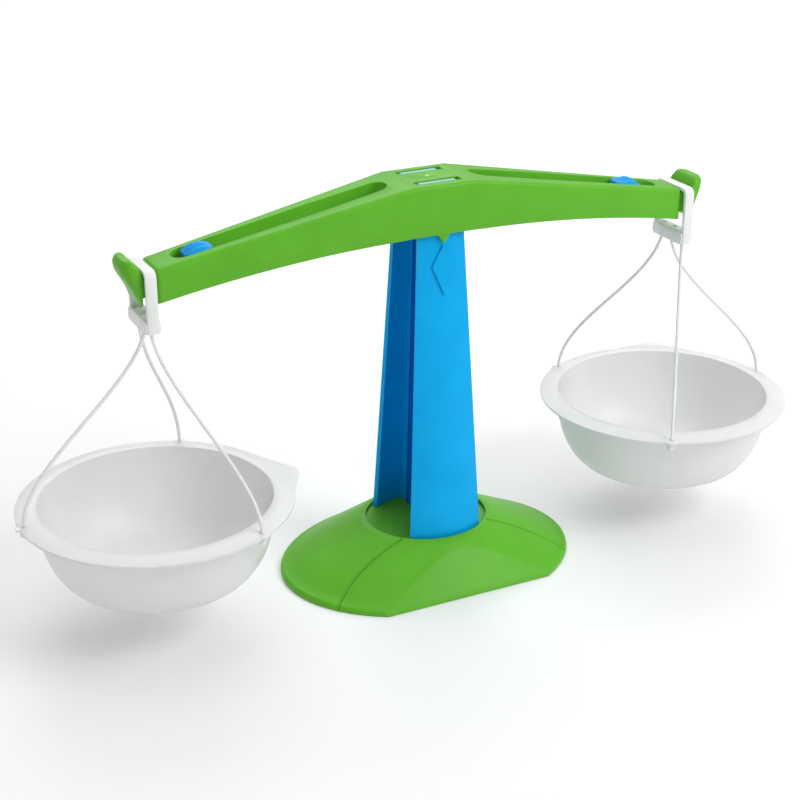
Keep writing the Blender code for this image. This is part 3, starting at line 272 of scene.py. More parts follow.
def moulded(name, colour, roughness, grain=0.05, sheen_scale=FLOW_SCALE, shades=0.94):
    """Injection-moulded plastic: faint flow marks in the colour and a fine spark-eroded grain."""
    made = bpy.data.materials.new(name)
    made.use_nodes = True
    nodes, links = made.node_tree.nodes, made.node_tree.links
    shader = nodes["Principled BSDF"]
    place = nodes.new("ShaderNodeTexCoord")

    flow = nodes.new("ShaderNodeTexNoise")
    flow.inputs["Scale"].default_value = sheen_scale
    flow.inputs["Detail"].default_value = 4.0
    links.new(place.outputs["Object"], flow.inputs["Vector"])
    tint = nodes.new("ShaderNodeValToRGB")
    tint.color_ramp.elements[0].position = FLOW_LOW_SHARE
    tint.color_ramp.elements[1].position = FLOW_HIGH_SHARE
    tint.color_ramp.elements[0].color = (*[c * shades for c in colour], 1.0)
    tint.color_ramp.elements[1].color = (
        *[min(1.0, c * LIGHTER + LIGHTER_STEP) for c in colour], 1.0)
    links.new(flow.outputs["Fac"], tint.inputs["Fac"])
    links.new(tint.outputs["Color"], shader.inputs["Base Color"])
    shader.inputs["Specular IOR Level"].default_value = 0.22

    sheen = nodes.new("ShaderNodeMapRange")
    sheen.inputs["To Min"].default_value = roughness - SMOOTHER
    sheen.inputs["To Max"].default_value = roughness + ROUGHER
    links.new(flow.outputs["Fac"], sheen.inputs["Value"])
    links.new(sheen.outputs["Result"], shader.inputs["Roughness"])

    fine = nodes.new("ShaderNodeTexNoise")
    fine.inputs["Scale"].default_value = GRAIN_SCALE
    fine.inputs["Detail"].default_value = 2.0
    links.new(place.outputs["Object"], fine.inputs["Vector"])
    bump = nodes.new("ShaderNodeBump")
    bump.inputs["Strength"].default_value = grain
    bump.inputs["Distance"].default_value = GRAIN_DEPTH
    links.new(fine.outputs["Fac"], bump.inputs["Height"])
    links.new(bump.outputs["Normal"], shader.inputs["Normal"])
    return made, shader


def shade_part(made, shader, place_to_share, factors):
    """Multiply a material's colour by factors where a share, made from the place, is high."""
    nodes, links = made.node_tree.nodes, made.node_tree.links
    place = nodes.new("ShaderNodeTexCoord")
    split = nodes.new("ShaderNodeSeparateXYZ")
    links.new(place.outputs["Object"], split.inputs["Vector"])
    share = place_to_share(nodes, links, split)
    shade = nodes.new("ShaderNodeMix")
    shade.data_type = "RGBA"
    shade.blend_type = "MULTIPLY"
    base = shader.inputs["Base Color"]
    links.new(share, shade.inputs["Factor"])
    links.new(base.links[0].from_socket, shade.inputs["A"])
    shade.inputs["B"].default_value = (*factors, 1)
    links.new(shade.outputs["Result"], base)
    return share


def sum_node(nodes, links, how, first, second, third=None):
    """One arithmetic step on sockets or plain numbers."""
    step = nodes.new("ShaderNodeMath")
    step.operation = how
    for slot, value in enumerate((first, second, third)):
        if hasattr(value, "is_linked"):
            links.new(value, step.inputs[slot])
        elif value is not None:
            step.inputs[slot].default_value = value
    return step.outputs["Value"]


def column_recess_painted_shade(nodes, links, split):
    """Share of painted shade in the recess: 1 between the column's plates and 0 on them."""
    across = sum_node(nodes, links, "ABSOLUTE", split.outputs["Y"], None)
    slope = (FOOT_HALF_DEPTH - TOP_HALF_DEPTH) / (COLUMN_TOP - COLUMN_FOOT)
    down = sum_node(nodes, links, "SUBTRACT", COLUMN_TOP, split.outputs["Z"])
    face = sum_node(nodes, links, "MULTIPLY_ADD", down, slope, TOP_HALF_DEPTH - COLUMN_PLATE)
    inside = sum_node(nodes, links, "SUBTRACT", face, across)
    soft = nodes.new("ShaderNodeMapRange")
    soft.inputs["From Min"].default_value = RECESS_SHADE_START
    soft.inputs["From Max"].default_value = RECESS_SHADE_FULL
    links.new(inside, soft.inputs["Value"])
    return soft.outputs["Result"]


def dome_crease_painted_shade(nodes, links, split):
    """Share of painted shade, 1 along the two creases that curve from the collar to the front
    corners.
    """
    along = sum_node(nodes, links, "ABSOLUTE", split.outputs["X"], None)
    run = sum_node(nodes, links, "SUBTRACT", along, CREASE_START)
    run = sum_node(nodes, links, "MAXIMUM", run, 0.0)
    bend = sum_node(nodes, links, "POWER", sum_node(nodes, links, "DIVIDE", run, CREASE_RUN), 3.0)
    line = sum_node(nodes, links, "MULTIPLY_ADD", bend, CREASE_BEND, CREASE_PLACE)
    off = sum_node(nodes, links, "ADD", split.outputs["Y"], line)
    off = sum_node(nodes, links, "ABSOLUTE", off, None)
    band = nodes.new("ShaderNodeMapRange")
    band.interpolation_type = "SMOOTHSTEP"
    band.inputs["From Min"].default_value = CREASE_HALF_WIDTH
    band.inputs["From Max"].default_value = CREASE_HALF_WIDTH / 4
    links.new(off, band.inputs["Value"])
    outside = sum_node(nodes, links, "GREATER_THAN", run, 0.0)
    return sum_node(nodes, links, "MULTIPLY", band.outputs["Result"], outside)


def gate_mark(nodes, links, split):
    """Share that is 1 at the gate mark in the middle of the beam's top."""
    along = sum_node(nodes, links, "MULTIPLY", split.outputs["X"], split.outputs["X"])
    both = sum_node(nodes, links, "MULTIPLY_ADD", split.outputs["Y"], split.outputs["Y"], along)
    near = sum_node(nodes, links, "LESS_THAN", both, (GATE_RADIUS * 1.2) ** 2)
    high = sum_node(nodes, links, "GREATER_THAN", split.outputs["Z"],
                    BEAM_MIDDLE_TOP - 2 * GATE_DEPTH)
    return sum_node(nodes, links, "MULTIPLY", near, high)


def brushed(name, colour, roughness):
    """Drawn steel with fine marks round the wire."""
    made, shader = moulded(name, colour, roughness, grain=0.10, sheen_scale=220.0)
    shader.inputs["Metallic"].default_value = 1.0
    return made


# Hands: small steps used on every piece

def take(piece):
    """Make a piece the only one that is selected and active."""
    bpy.ops.object.select_all(action="DESELECT")
    piece.select_set(True)
    bpy.context.view_layer.objects.active = piece


def name_added(name):
    """Name the shape that was just added, and put its place in its mesh."""
    piece = bpy.context.active_object
    piece.name = name
    piece.data.name = name
    take(piece)
    bpy.ops.object.transform_apply(location=True, rotation=True, scale=True)
    return piece


def add_block(name, low, high):
    """Block between two corners, as a start."""
    middle = [(a + b) / 2 for a, b in zip(low, high)]
    size = [b - a for a, b in zip(low, high)]
    bpy.ops.mesh.primitive_cube_add(size=1, location=middle, scale=size)
    return name_added(name)


def add_rod(name, radius, low, high, sides=ROD_SIDES):
    """Upright or level rod between two points, as a start."""
    low, high = Vector(low), Vector(high)
    turn = (high - low).to_track_quat("Z", "Y").to_euler()
    bpy.ops.mesh.primitive_cylinder_add(vertices=sides, radius=radius, depth=(high - low).length,
                                        location=(low + high) / 2, rotation=turn)
    return name_added(name)


def open_mesh(piece, kind="FACE"):
    """Go into edit mode with nothing selected."""
    take(piece)
    bpy.ops.object.mode_set(mode="EDIT")
    bpy.ops.mesh.select_mode(type=kind)
    bpy.ops.mesh.select_all(action="DESELECT")


def close_mesh():
    bpy.ops.object.mode_set(mode="OBJECT")


def pick(piece, kind, test):
    """Select the vertices, edges or faces that pass a test on their place."""
    bpy.ops.mesh.select_mode(type=kind)
    bpy.ops.mesh.select_all(action="DESELECT")
    shape = bmesh.from_edit_mesh(piece.data)
    parts = {"VERT": shape.verts, "EDGE": shape.edges, "FACE": shape.faces}[kind]
    for part in parts:
        if test(part):
            part.select_set(True)
    shape.select_flush_mode()
    bmesh.update_edit_mesh(piece.data)


def push(vector):
    """Extrude what is selected by a vector."""
    bpy.ops.mesh.extrude_region_move(TRANSFORM_OT_translate={"value": vector})


def grow(factors, middle):
    """Scale what is selected about a point."""
    bpy.ops.transform.resize(value=factors, center_override=middle)


def cut(piece, tools, how="DIFFERENCE"):
    """Cut shapes from a piece, or join them to it, and remove them."""
    for tool in tools:
        take(piece)
        step = piece.modifiers.new("cut", "BOOLEAN")
        step.solver = "EXACT"
        step.operation = how
        step.object = tool
        bpy.ops.object.modifier_apply(modifier=step.name)
        bpy.data.objects.remove(tool, do_unlink=True)


def thicken(piece, wall):
    """Give an open shell its wall, on the side away from its faces."""
    take(piece)
    step = piece.modifiers.new("wall", "SOLIDIFY")
    step.thickness = wall
    step.offset = -1
    step.use_even_offset = True
    bpy.ops.object.modifier_apply(modifier=step.name)


def soften(piece, width, angle=35, segments=3):
    """Round the sharp edges a little, as a mould does."""
    take(piece)
    step = piece.modifiers.new("edges", "BEVEL")
    step.width = width
    step.segments = segments
    step.limit_method = "ANGLE"
    step.angle_limit = radians(angle)
    step.use_clamp_overlap = True
    bpy.ops.object.modifier_apply(modifier=step.name)


def smooth(piece, angle=32):
    take(piece)
    bpy.ops.object.shade_smooth_by_angle(angle=radians(angle))


def spun(name, outline, sides):
    """Closed form spun round the upright axis from an outline that starts and ends on it."""
    bpy.ops.mesh.primitive_circle_add(vertices=3, radius=APART, location=(0, 0, outline[0][1]))
    piece = name_added(name)
    open_mesh(piece, "VERT")
    bpy.ops.mesh.select_all(action="SELECT")
    bpy.ops.mesh.merge(type="CENTER")
    before = outline[0]
    for point in outline[1:]:
        push((point[0] - before[0], 0, point[1] - before[1]))
        before = point
    bpy.ops.mesh.select_all(action="SELECT")
    bpy.ops.mesh.spin(steps=sides, angle=2 * pi, center=(0, 0, 0), axis=(0, 0, 1))
    bpy.ops.mesh.select_all(action="SELECT")
    bpy.ops.mesh.remove_doubles(threshold=SPIN_WELD)
    bpy.ops.mesh.normals_make_consistent(inside=False)
    close_mesh()
    return piece


def drawn_bar(name, points, radius):
    """Round bar drawn along a row of points."""
    bpy.ops.curve.primitive_nurbs_path_add()
    line = bpy.context.active_object
    line.name = name
    curve = line.data
    curve.splines.clear()
    path = curve.splines.new("POLY")
    path.points.add(len(points) - 1)
    for spot, place in zip(path.points, points):
        spot.co = (*place, 1)
    curve.bevel_depth = radius
    curve.bevel_resolution = 5
    curve.use_fill_caps = True
    line.matrix_world = Matrix()
    take(line)
    bpy.ops.object.convert(target="MESH")
    bar = name_added(name)
    open_mesh(bar)
    bpy.ops.mesh.select_all(action="SELECT")
    bpy.ops.mesh.remove_doubles(threshold=BAR_WELD)
    bpy.ops.mesh.normals_make_consistent(inside=False)
    close_mesh()
    return bar


def dress(piece, material, body, slot, *nodes):
    """Give a finished piece its material, its body and the nodes that it stands for."""
    piece.data.materials.clear()
    piece.data.materials.append(material)
    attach(piece, body)
    if nodes:
        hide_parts(*nodes)


def half_turn(piece, name):
    """Copy of a right-hand piece, turned half a turn about the column."""
    take(piece)
    bpy.ops.object.duplicate(linked=False)
    copy = bpy.context.active_object
    copy.matrix_world = Matrix.Rotation(pi, 4, "Z")
    return name_added(name)


def mix(low, high, share):
    return low + (high - low) * share


# Base

def dome_height(rings, x, y):
    """Height of the dome at a place, from the rings that it was pulled up through."""
    outer, outer_height = 1.0, rings[0][2]
    for length, depth, height in rings:
        reach = sqrt((x / length) ** 2 + (y / depth) ** 2)
        if reach > 1:
            return mix(outer_height, height, (1 - outer) / (reach - outer))
        outer, outer_height = reach, height
    return outer_height


def make_crease(rings, side):
    """Bar along a crease that curves from the collar to a front corner, sunk into the dome."""
    points = []
    for k in range(CREASE_POINTS):
        run = k / (CREASE_POINTS - 1)
        x = CREASE_START + run * CREASE_RUN
        y = -CREASE_PLACE - CREASE_BEND * run ** 3
        points.append((side * x, y, dome_height(rings, x, y) + CREASE_HALF_WIDTH - CREASE_DEPTH))
    return drawn_bar("crease", points, CREASE_HALF_WIDTH)


def make_base():
    """Oval dome with a flat front face, a collar, two creases and a recess for the column."""
    rings = [(BASE_HALF_LENGTH, BASE_HALF_DEPTH, BASE_RIM_TOP)]
    for k in range(1, SHOULDER_STEPS + 1):
        turn = pi / 2 * k / SHOULDER_STEPS
        inset = BASE_SHOULDER * (1 - cos(turn))
        rings.append((BASE_HALF_LENGTH - inset, BASE_HALF_DEPTH - inset,
                      BASE_RIM_TOP + BASE_SHOULDER * sin(turn)))
    last = rings[-1]
    for k in range(1, DOME_STEPS + 1):
        share = k / DOME_STEPS
        rings.append((mix(last[0], DOME_TOP_HALF_LENGTH, share),
                      mix(last[1], DOME_TOP_HALF_DEPTH, share), mix(last[2], DOME_TOP, share)))
    rings.append((SEAT_HALF_LENGTH + SEAT_LAND, SEAT_HALF_DEPTH + SEAT_LAND, SEAT_TOP))
    rings.append((SEAT_HALF_LENGTH, SEAT_HALF_DEPTH, SEAT_TOP))
    rings.append((SEAT_HALF_LENGTH, SEAT_HALF_DEPTH, SEAT_FLOOR))

    bpy.ops.mesh.primitive_circle_add(vertices=BASE_SIDES, radius=1, fill_type="NGON",
                                      location=(0, 0, BASE_BOTTOM))
    base = name_added("base_moulding")
    open_mesh(base)
    bpy.ops.mesh.select_all(action="SELECT")
    grow((BASE_HALF_LENGTH, BASE_HALF_DEPTH, 1), (0, 0, BASE_BOTTOM))
    before = (BASE_HALF_LENGTH, BASE_HALF_DEPTH, BASE_BOTTOM)
    for ring in rings:
        push((0, 0, ring[2] - before[2]))
        grow((ring[0] / before[0], ring[1] / before[1], 1), (0, 0, ring[2]))
        before = ring

    pick(base, "EDGE", lambda e: e.is_boundary)
    bpy.ops.mesh.edge_face_add()
    lean = BASE_FRONT_LEAN / DOME_TOP
    bpy.ops.mesh.select_all(action="SELECT")
    bpy.ops.mesh.bisect(plane_co=(0, -BASE_FRONT, 0), plane_no=(0, -1, lean), use_fill=True,
                        clear_outer=True)
    pick(base, "FACE", lambda f: f.normal.z < -0.9)
    bpy.ops.mesh.delete(type="FACE")
    close_mesh()
    thicken(base, BASE_WALL)
    for vert in base.data.vertices:
        vert.co.z = max(vert.co.z, BASE_BOTTOM)

    bosses = []
    for x, y in FOOT_PLACES:
        reach = sqrt((x / BASE_HALF_LENGTH) ** 2 + (y / BASE_HALF_DEPTH) ** 2)
        rise = mix(DOME_TOP, BASE_RIM_TOP, reach)
        bosses.append(add_rod("boss", FOOT_BOSS_RADIUS, (x, y, FOOT_BOSS_BOTTOM), (x, y, rise)))
    width, depth = SOCKET_HALF_WIDTH + SOCKET_WALL, SOCKET_HALF_DEPTH + SOCKET_WALL
    socket = add_block("socket", (-width, -depth, SOCKET_FLOOR - SOCKET_WALL),
                       (width, depth, SEAT_FLOOR - BASE_WALL / 2))
    cut(base, [socket] + bosses, "UNION")
    pocket = add_block("pocket", (-SOCKET_HALF_WIDTH, -SOCKET_HALF_DEPTH, SOCKET_FLOOR),
                       (SOCKET_HALF_WIDTH, SOCKET_HALF_DEPTH, SEAT_TOP + OVERRUN))
    holes = [add_rod("hole", PEG_HOLE_RADIUS, (x, y, 0), (x, y, PEG_HOLE_TOP))
             for x, y in FOOT_PLACES]
    holes += [add_rod("hole", SCREW_HOLE_RADIUS, (0, y, 0), (0, y, SOCKET_FLOOR + OVERRUN))
              for y in (-SCREW_SPACING / 2, SCREW_SPACING / 2)]
    cut(base, [pocket] + holes)
    soften(base, EDGE_ROUNDING)
    cut(base, [make_crease(rings, side) for side in (-1, 1)])
    smooth(base)
    return base


# Column

def column_share(height):
    return (height - COLUMN_FOOT) / (COLUMN_TOP - COLUMN_FOOT)


def column_half_width(height):
    return mix(FOOT_HALF_WIDTH, TOP_HALF_WIDTH, column_share(height))


def column_face(x, height):
    """Distance of a plate's outer face from the middle plane."""
    share = column_share(height)
    edge = mix(FOOT_HALF_DEPTH, TOP_HALF_DEPTH, share)
    bulge = mix(FOOT_BULGE, TOP_BULGE, share)
    return edge + bulge * (1 - (x / column_half_width(height)) ** 2)


def make_plate(name):
    """Front plate: a flat sheet, tapered and bowed outwards, then given its thickness."""
    bpy.ops.mesh.primitive_grid_add(x_subdivisions=28, y_subdivisions=24, size=2,
                                    rotation=(pi / 2, 0, 0))
    plate = name_added(name)
    for vert in plate.data.vertices:
        height = mix(COLUMN_FOOT, COLUMN_TOP, (vert.co.z + 1) / 2)
        x = vert.co.x * column_half_width(height)
        vert.co = (x, -column_face(x, height), height)
    thicken(plate, COLUMN_PLATE)
    return plate


def make_column():
    """Two bowed plates joined by a web, with a head, a tongue and a raised diamond."""
    column = make_plate("column_moulding")
    back = half_turn(column, "back")
    web = add_block("web", (-COLUMN_WEB / 2, -1, COLUMN_FOOT), (COLUMN_WEB / 2, 1, COLUMN_TOP))
    for vert in web.data.vertices:
        vert.co.y *= column_face(0, vert.co.z) - COLUMN_PLATE / 2
    reach = TOP_HALF_DEPTH - COLUMN_PLATE / 2
    head = add_block("head", (-HEAD_HALF_WIDTH, -reach, HEAD_BOTTOM),
                     (HEAD_HALF_WIDTH, reach, COLUMN_TOP - FIT_GAP))
    tongue = add_block("tongue", (-TONGUE_HALF_WIDTH, -TONGUE_HALF_DEPTH, TONGUE_BOTTOM),
                       (TONGUE_HALF_WIDTH, TONGUE_HALF_DEPTH, COLUMN_FOOT + OVERRUN))
    cut(column, [back, web, head, tongue], "UNION")

    corners = ((0, DIAMOND_TOP), (-DIAMOND_HALF_WIDTH, DIAMOND_MIDDLE), (0, DIAMOND_BOTTOM),
               (DIAMOND_HALF_WIDTH, DIAMOND_MIDDLE))
    bpy.ops.mesh.primitive_cylinder_add(vertices=4, radius=1, depth=2, rotation=(pi / 2, 0, 0))
    diamond = name_added("diamond")
    for vert in diamond.data.vertices:
        x, z = min(corners, key=lambda c: (c[0] / DIAMOND_HALF_WIDTH - vert.co.x) ** 2
                   + ((c[1] > DIAMOND_MIDDLE) - (c[1] < DIAMOND_MIDDLE) - vert.co.z) ** 2)
        y = -DIAMOND_RAISE if vert.co.y < 0 else DIAMOND_SUNK
        vert.co = (x, y - column_face(x, z), z)
    open_mesh(diamond, "VERT")
    pick(diamond, "VERT", lambda v: abs(v.co.x) < NEAR and v.co.y < -column_face(0, v.co.z))
    bpy.ops.mesh.vert_connect()
    bpy.ops.mesh.select_all(action="SELECT")
    bpy.ops.mesh.normals_make_consistent(inside=False)
    close_mesh()
    cut(column, [diamond], "UNION")
    tools = []
    for side in (-1, 1):
        y = side * BEARING_PLACE
        tools.append(add_block(
            "seat",
            (-BEARING_HALF_LENGTH - FIT_GAP, y - BEARING_HALF_THICKNESS - FIT_GAP, BEARING_SEAT),
            (BEARING_HALF_LENGTH + FIT_GAP, y + BEARING_HALF_THICKNESS + FIT_GAP,
             COLUMN_TOP + OVERRUN)))
        y = side * SCREW_SPACING / 2
        tools.append(add_rod("pilot", SCREW_HOLE_RADIUS, (0, y, TONGUE_BOTTOM - OVERRUN),
                             (0, y, SCREW_TIP), SMALL_ROD_SIDES))
    cut(column, tools)
    smooth(column)
    return column


# Beam

def beam_top(x):
    out = max(0.0, x - BEAM_FLAT)
    return BEAM_MIDDLE_TOP - out * (BEAM_MIDDLE_TOP - BEAM_END_TOP) / (BEAM_END - BEAM_FLAT)


def beam_bottom(x):
    return BEAM_MIDDLE_BOTTOM - (BEAM_MIDDLE_BOTTOM - BEAM_END_BOTTOM) * (x / BEAM_END) ** 2


def beam_half_width(x):
    share = max(0.0, x - BEAM_FLAT) / (BEAM_END - BEAM_FLAT)
    return mix(BEAM_MIDDLE_HALF_WIDTH, BEAM_END_HALF_WIDTH, share)


def on_arm(piece, side):
    """Move a shape made flat at the middle's height onto an arm's slope."""
    down_arm = (Matrix.Translation((BEAM_FLAT, 0, BEAM_MIDDLE_TOP))
                @ Matrix.Rotation(ARM_SLOPE, 4, "Y") @ Matrix.Translation((-BEAM_FLAT, 0, 0)))
    piece.matrix_world = (Matrix.Rotation(pi, 4, "Z") if side < 0 else Matrix()) @ down_arm
    take(piece)
    bpy.ops.object.transform_apply(location=True, rotation=True, scale=True)
    return piece


def slot_shape(name, grown, low, high, side):
    """Slot form: a disc pulled apart into two round ends, widest at a point between them."""
    bpy.ops.mesh.primitive_circle_add(vertices=SLOT_SIDES, radius=1, fill_type="NGON",
                                      location=(0, 0, low))
    piece = name_added(name)
    open_mesh(piece, "VERT")
    inner, wide, outer = [half + grown for half in (SLOT_INNER_HALF_WIDTH, SLOT_WIDEST_HALF_WIDTH,
                                                    SLOT_HALF_WIDTH)]
    pick(piece, "VERT", lambda v: v.co.x < -APART)
    grow((inner, inner, 1), (0, 0, 0))
    bpy.ops.transform.translate(value=(SLOT_INNER_END + SLOT_INNER_HALF_WIDTH, 0, 0))
    pick(piece, "VERT", lambda v: v.co.x > APART and v.co.xy.length > 0.5)
    grow((outer, outer, 1), (0, 0, 0))
    bpy.ops.transform.translate(value=(SLOT_OUTER_END - SLOT_HALF_WIDTH, 0, 0))
    pick(piece, "VERT", lambda v: v.co.xy.length > 0.5)
    grow((1, wide, 1), (0, 0, 0))
    bpy.ops.transform.translate(value=(SLOT_WIDEST, 0, 0))
    bpy.ops.mesh.select_all(action="SELECT")
    bpy.ops.mesh.normals_make_consistent(inside=False)
    push((0, 0, high - low))
    bpy.ops.mesh.select_all(action="DESELECT")
    pick(piece, "EDGE", lambda e: e.is_boundary)
    bpy.ops.mesh.edge_face_add()
    bpy.ops.mesh.select_all(action="SELECT")
    bpy.ops.mesh.normals_make_consistent(inside=False)
    close_mesh()
    return on_arm(piece, side)


def make_beam_shell():
    """Half the beam pulled out of a block, rounded, mirrored and hollowed from below."""
    shell = add_block("beam_moulding", (0, -BEAM_MIDDLE_HALF_WIDTH, BEAM_MIDDLE_BOTTOM),
                      (BEAM_FLAT, BEAM_MIDDLE_HALF_WIDTH, BEAM_MIDDLE_TOP))
    open_mesh(shell)
    pick(shell, "FACE", lambda f: f.normal.x > 0.9)
    before = BEAM_FLAT
    old_top, old_bottom = BEAM_MIDDLE_TOP, BEAM_MIDDLE_BOTTOM
    for k in range(1, ARM_STEPS + 1):
        x = mix(BEAM_FLAT, BEAM_END, k / ARM_STEPS)
        top, bottom = beam_top(x), beam_bottom(x)
        push((x - before, 0, 0))
        grow((1, beam_half_width(x) / beam_half_width(before),
              (top - bottom) / (old_top - old_bottom)), (x, 0, old_top))
        bpy.ops.transform.translate(value=(0, 0, top - old_top))
        before, old_top, old_bottom = x, top, bottom
    pick(shell, "FACE", lambda f: f.normal.z < -0.7 or f.normal.x < -0.9)
    bpy.ops.mesh.delete(type="FACE")
    pick(shell, "EDGE", lambda e: e.is_manifold and e.calc_face_angle() > radians(60))
    bpy.ops.mesh.bevel(offset=BEAM_EDGE, segments=6, affect="EDGES")
    close_mesh()
    step = shell.modifiers.new("other_arm", "MIRROR")
    step.use_clip = True
    step.merge_threshold = MIRROR_WELD
    bpy.ops.object.modifier_apply(modifier=step.name)
    thicken(shell, BEAM_WALL)
    return shell


def make_flare():
    """Flared stop plate: its side outline, pulled across the beam with a fuller middle."""
    rise = FLARE_TOP - FLARE_LEAN_START
    bpy.ops.mesh.primitive_circle_add(vertices=len(FLARE_SHARES), radius=1, fill_type="NGON",
                                      rotation=(pi / 2, 0, 0))
    flare = name_added("flare")
    for vert, (out, up, lip) in zip(flare.data.vertices, FLARE_SHARES):
        vert.co = (FLARE_INNER + out * FLARE_REACH, -FLARE_HALF_WIDTH,
                   mix(FLARE_BOTTOM, FLARE_LEAN_START, up) + lip * rise)
    open_mesh(flare)
    bpy.ops.mesh.select_all(action="SELECT")
    for _ in range(FLARE_STEPS):
        push((0, 2 * FLARE_HALF_WIDTH / FLARE_STEPS, 0))
    pick(flare, "EDGE", lambda e: e.is_boundary)
    bpy.ops.mesh.edge_face_add()
    bpy.ops.mesh.select_all(action="SELECT")
    bpy.ops.mesh.normals_make_consistent(inside=False)
    close_mesh()
    for vert in flare.data.vertices:
        across = min(1.0, abs(vert.co.y) / FLARE_HALF_WIDTH)
        fullness = mix(1.0, FLARE_SIDE_SHARE, across ** 4)
        into_corner = max(0.0, abs(vert.co.y) - FLARE_HALF_WIDTH + FLARE_CORNER) / FLARE_CORNER
        lowered = FLARE_CORNER * (1 - sqrt(1 - min(0.99, into_corner) ** 2))
        lip = max(0.0, vert.co.z - FLARE_LEAN_START) / rise
        vert.co.x = FLARE_INNER + (vert.co.x - FLARE_INNER) * fullness
        vert.co.z -= lip * lowered
    soften(flare, FLARE_ROUNDING, angle=50)
    return flare


def make_neck(side):
    """Neck between an arm and its flare, with a crowned top whose ridge carries the stirrup."""
    ends = sorted((side * (BEAM_END - BEAM_WALL / 2), side * (FLARE_INNER + NECK_EMBED)))
    neck = add_block("neck", (ends[0], -NECK_HALF_WIDTH, NECK_BOTTOM),
                     (ends[1], NECK_HALF_WIDTH, NECK_TOP))
    ridge = side * HANGER_PLACE
    open_mesh(neck)
    bpy.ops.mesh.select_all(action="SELECT")
    bpy.ops.mesh.bisect(plane_co=(ridge, 0, 0), plane_no=(1, 0, 0))
    pick(neck, "EDGE", lambda e: min(abs(v.co.x - ridge) for v in e.verts) > APART / 2
         and min(v.co.z for v in e.verts) > NECK_TOP - NEAR)
    bpy.ops.transform.translate(value=(0, 0, -NECK_CROWN))
    pick(neck, "EDGE", lambda e: abs(e.verts[0].co.x - e.verts[1].co.x) > APART)
    bpy.ops.mesh.bevel(offset=NECK_ROUNDING, segments=4, affect="EDGES")
    close_mesh()
    return neck


def make_pointer():
    """Small wedge that points down from the beam's front, over the column's diamond."""
    bpy.ops.mesh.primitive_cylinder_add(vertices=3, radius=1, depth=2, rotation=(pi / 2, 0, 0))
    pointer = name_added("pointer")
    for vert in pointer.data.vertices:
        x, z = 0.0, BEAM_MIDDLE_BOTTOM - POINTER_DROP
        if abs(vert.co.x) > 0.1:
            x = POINTER_HALF_WIDTH * POINTER_SPREAD_SHARE * (1 if vert.co.x > 0 else -1)
            z = BEAM_MIDDLE_BOTTOM + POINTER_DROP * POINTER_BURIED_SHARE
        y = -BEAM_MIDDLE_HALF_WIDTH + (POINTER_INSET if vert.co.y < 0 else POINTER_BACK)
        vert.co = (x, y, z)
    open_mesh(pointer)
    bpy.ops.mesh.select_all(action="SELECT")
    bpy.ops.mesh.normals_make_consistent(inside=False)
    close_mesh()
    return pointer


def make_beam():
    """Beam with slots, windows, necks, flared ends, bosses and pointer."""
    beam = make_beam_shell()
    add = [slot_shape("rim", SLOT_RIM, -SLOT_DEPTH, -BEAM_WALL / 2, side) for side in (-1, 1)]
    flare = make_flare()
    add += [half_turn(flare, "flare_left"), flare]
    face = BEAM_MIDDLE_HALF_WIDTH - BEAM_WALL
    for side in (-1, 1):
        add.append(make_neck(side))
        add.append(add_rod("boss", PIN_BOSS_RADIUS,
                           (0, side * (face - PIN_BOSS_LENGTH), PIVOT_HEIGHT),
                           (0, side * (face + BEAM_WALL / 2), PIVOT_HEIGHT)))
    cut(beam, add + [make_pointer()], "UNION")

    tools = [slot_shape("slot", 0.0, -SLOT_DEPTH - OVERRUN, OVERRUN, side) for side in (-1, 1)]
    for side in (-1, 1):
        y = side * BEARING_PLACE
        tools.append(add_block(
            "window", (-WINDOW_HALF_LENGTH, y - WINDOW_HALF_WIDTH, BEAM_MIDDLE_TOP - OVERRUN),
            (WINDOW_HALF_LENGTH, y + WINDOW_HALF_WIDTH, BEAM_MIDDLE_TOP + OVERRUN)))
    face = BEAM_MIDDLE_HALF_WIDTH - BEAM_WALL / 2
    tools.append(add_rod("pin_hole", PIN_HOLE_RADIUS, (0, -face, PIVOT_HEIGHT),
                         (0, face, PIVOT_HEIGHT)))
    tools.append(add_rod("gate", GATE_RADIUS, (0, 0, BEAM_MIDDLE_TOP - GATE_DEPTH),
                         (0, 0, BEAM_MIDDLE_TOP + OVERRUN), SMALL_ROD_SIDES))
    cut(beam, tools)
    soften(beam, EDGE_ROUNDING, angle=50, segments=2)
    smooth(beam)
    return beam


# Pans

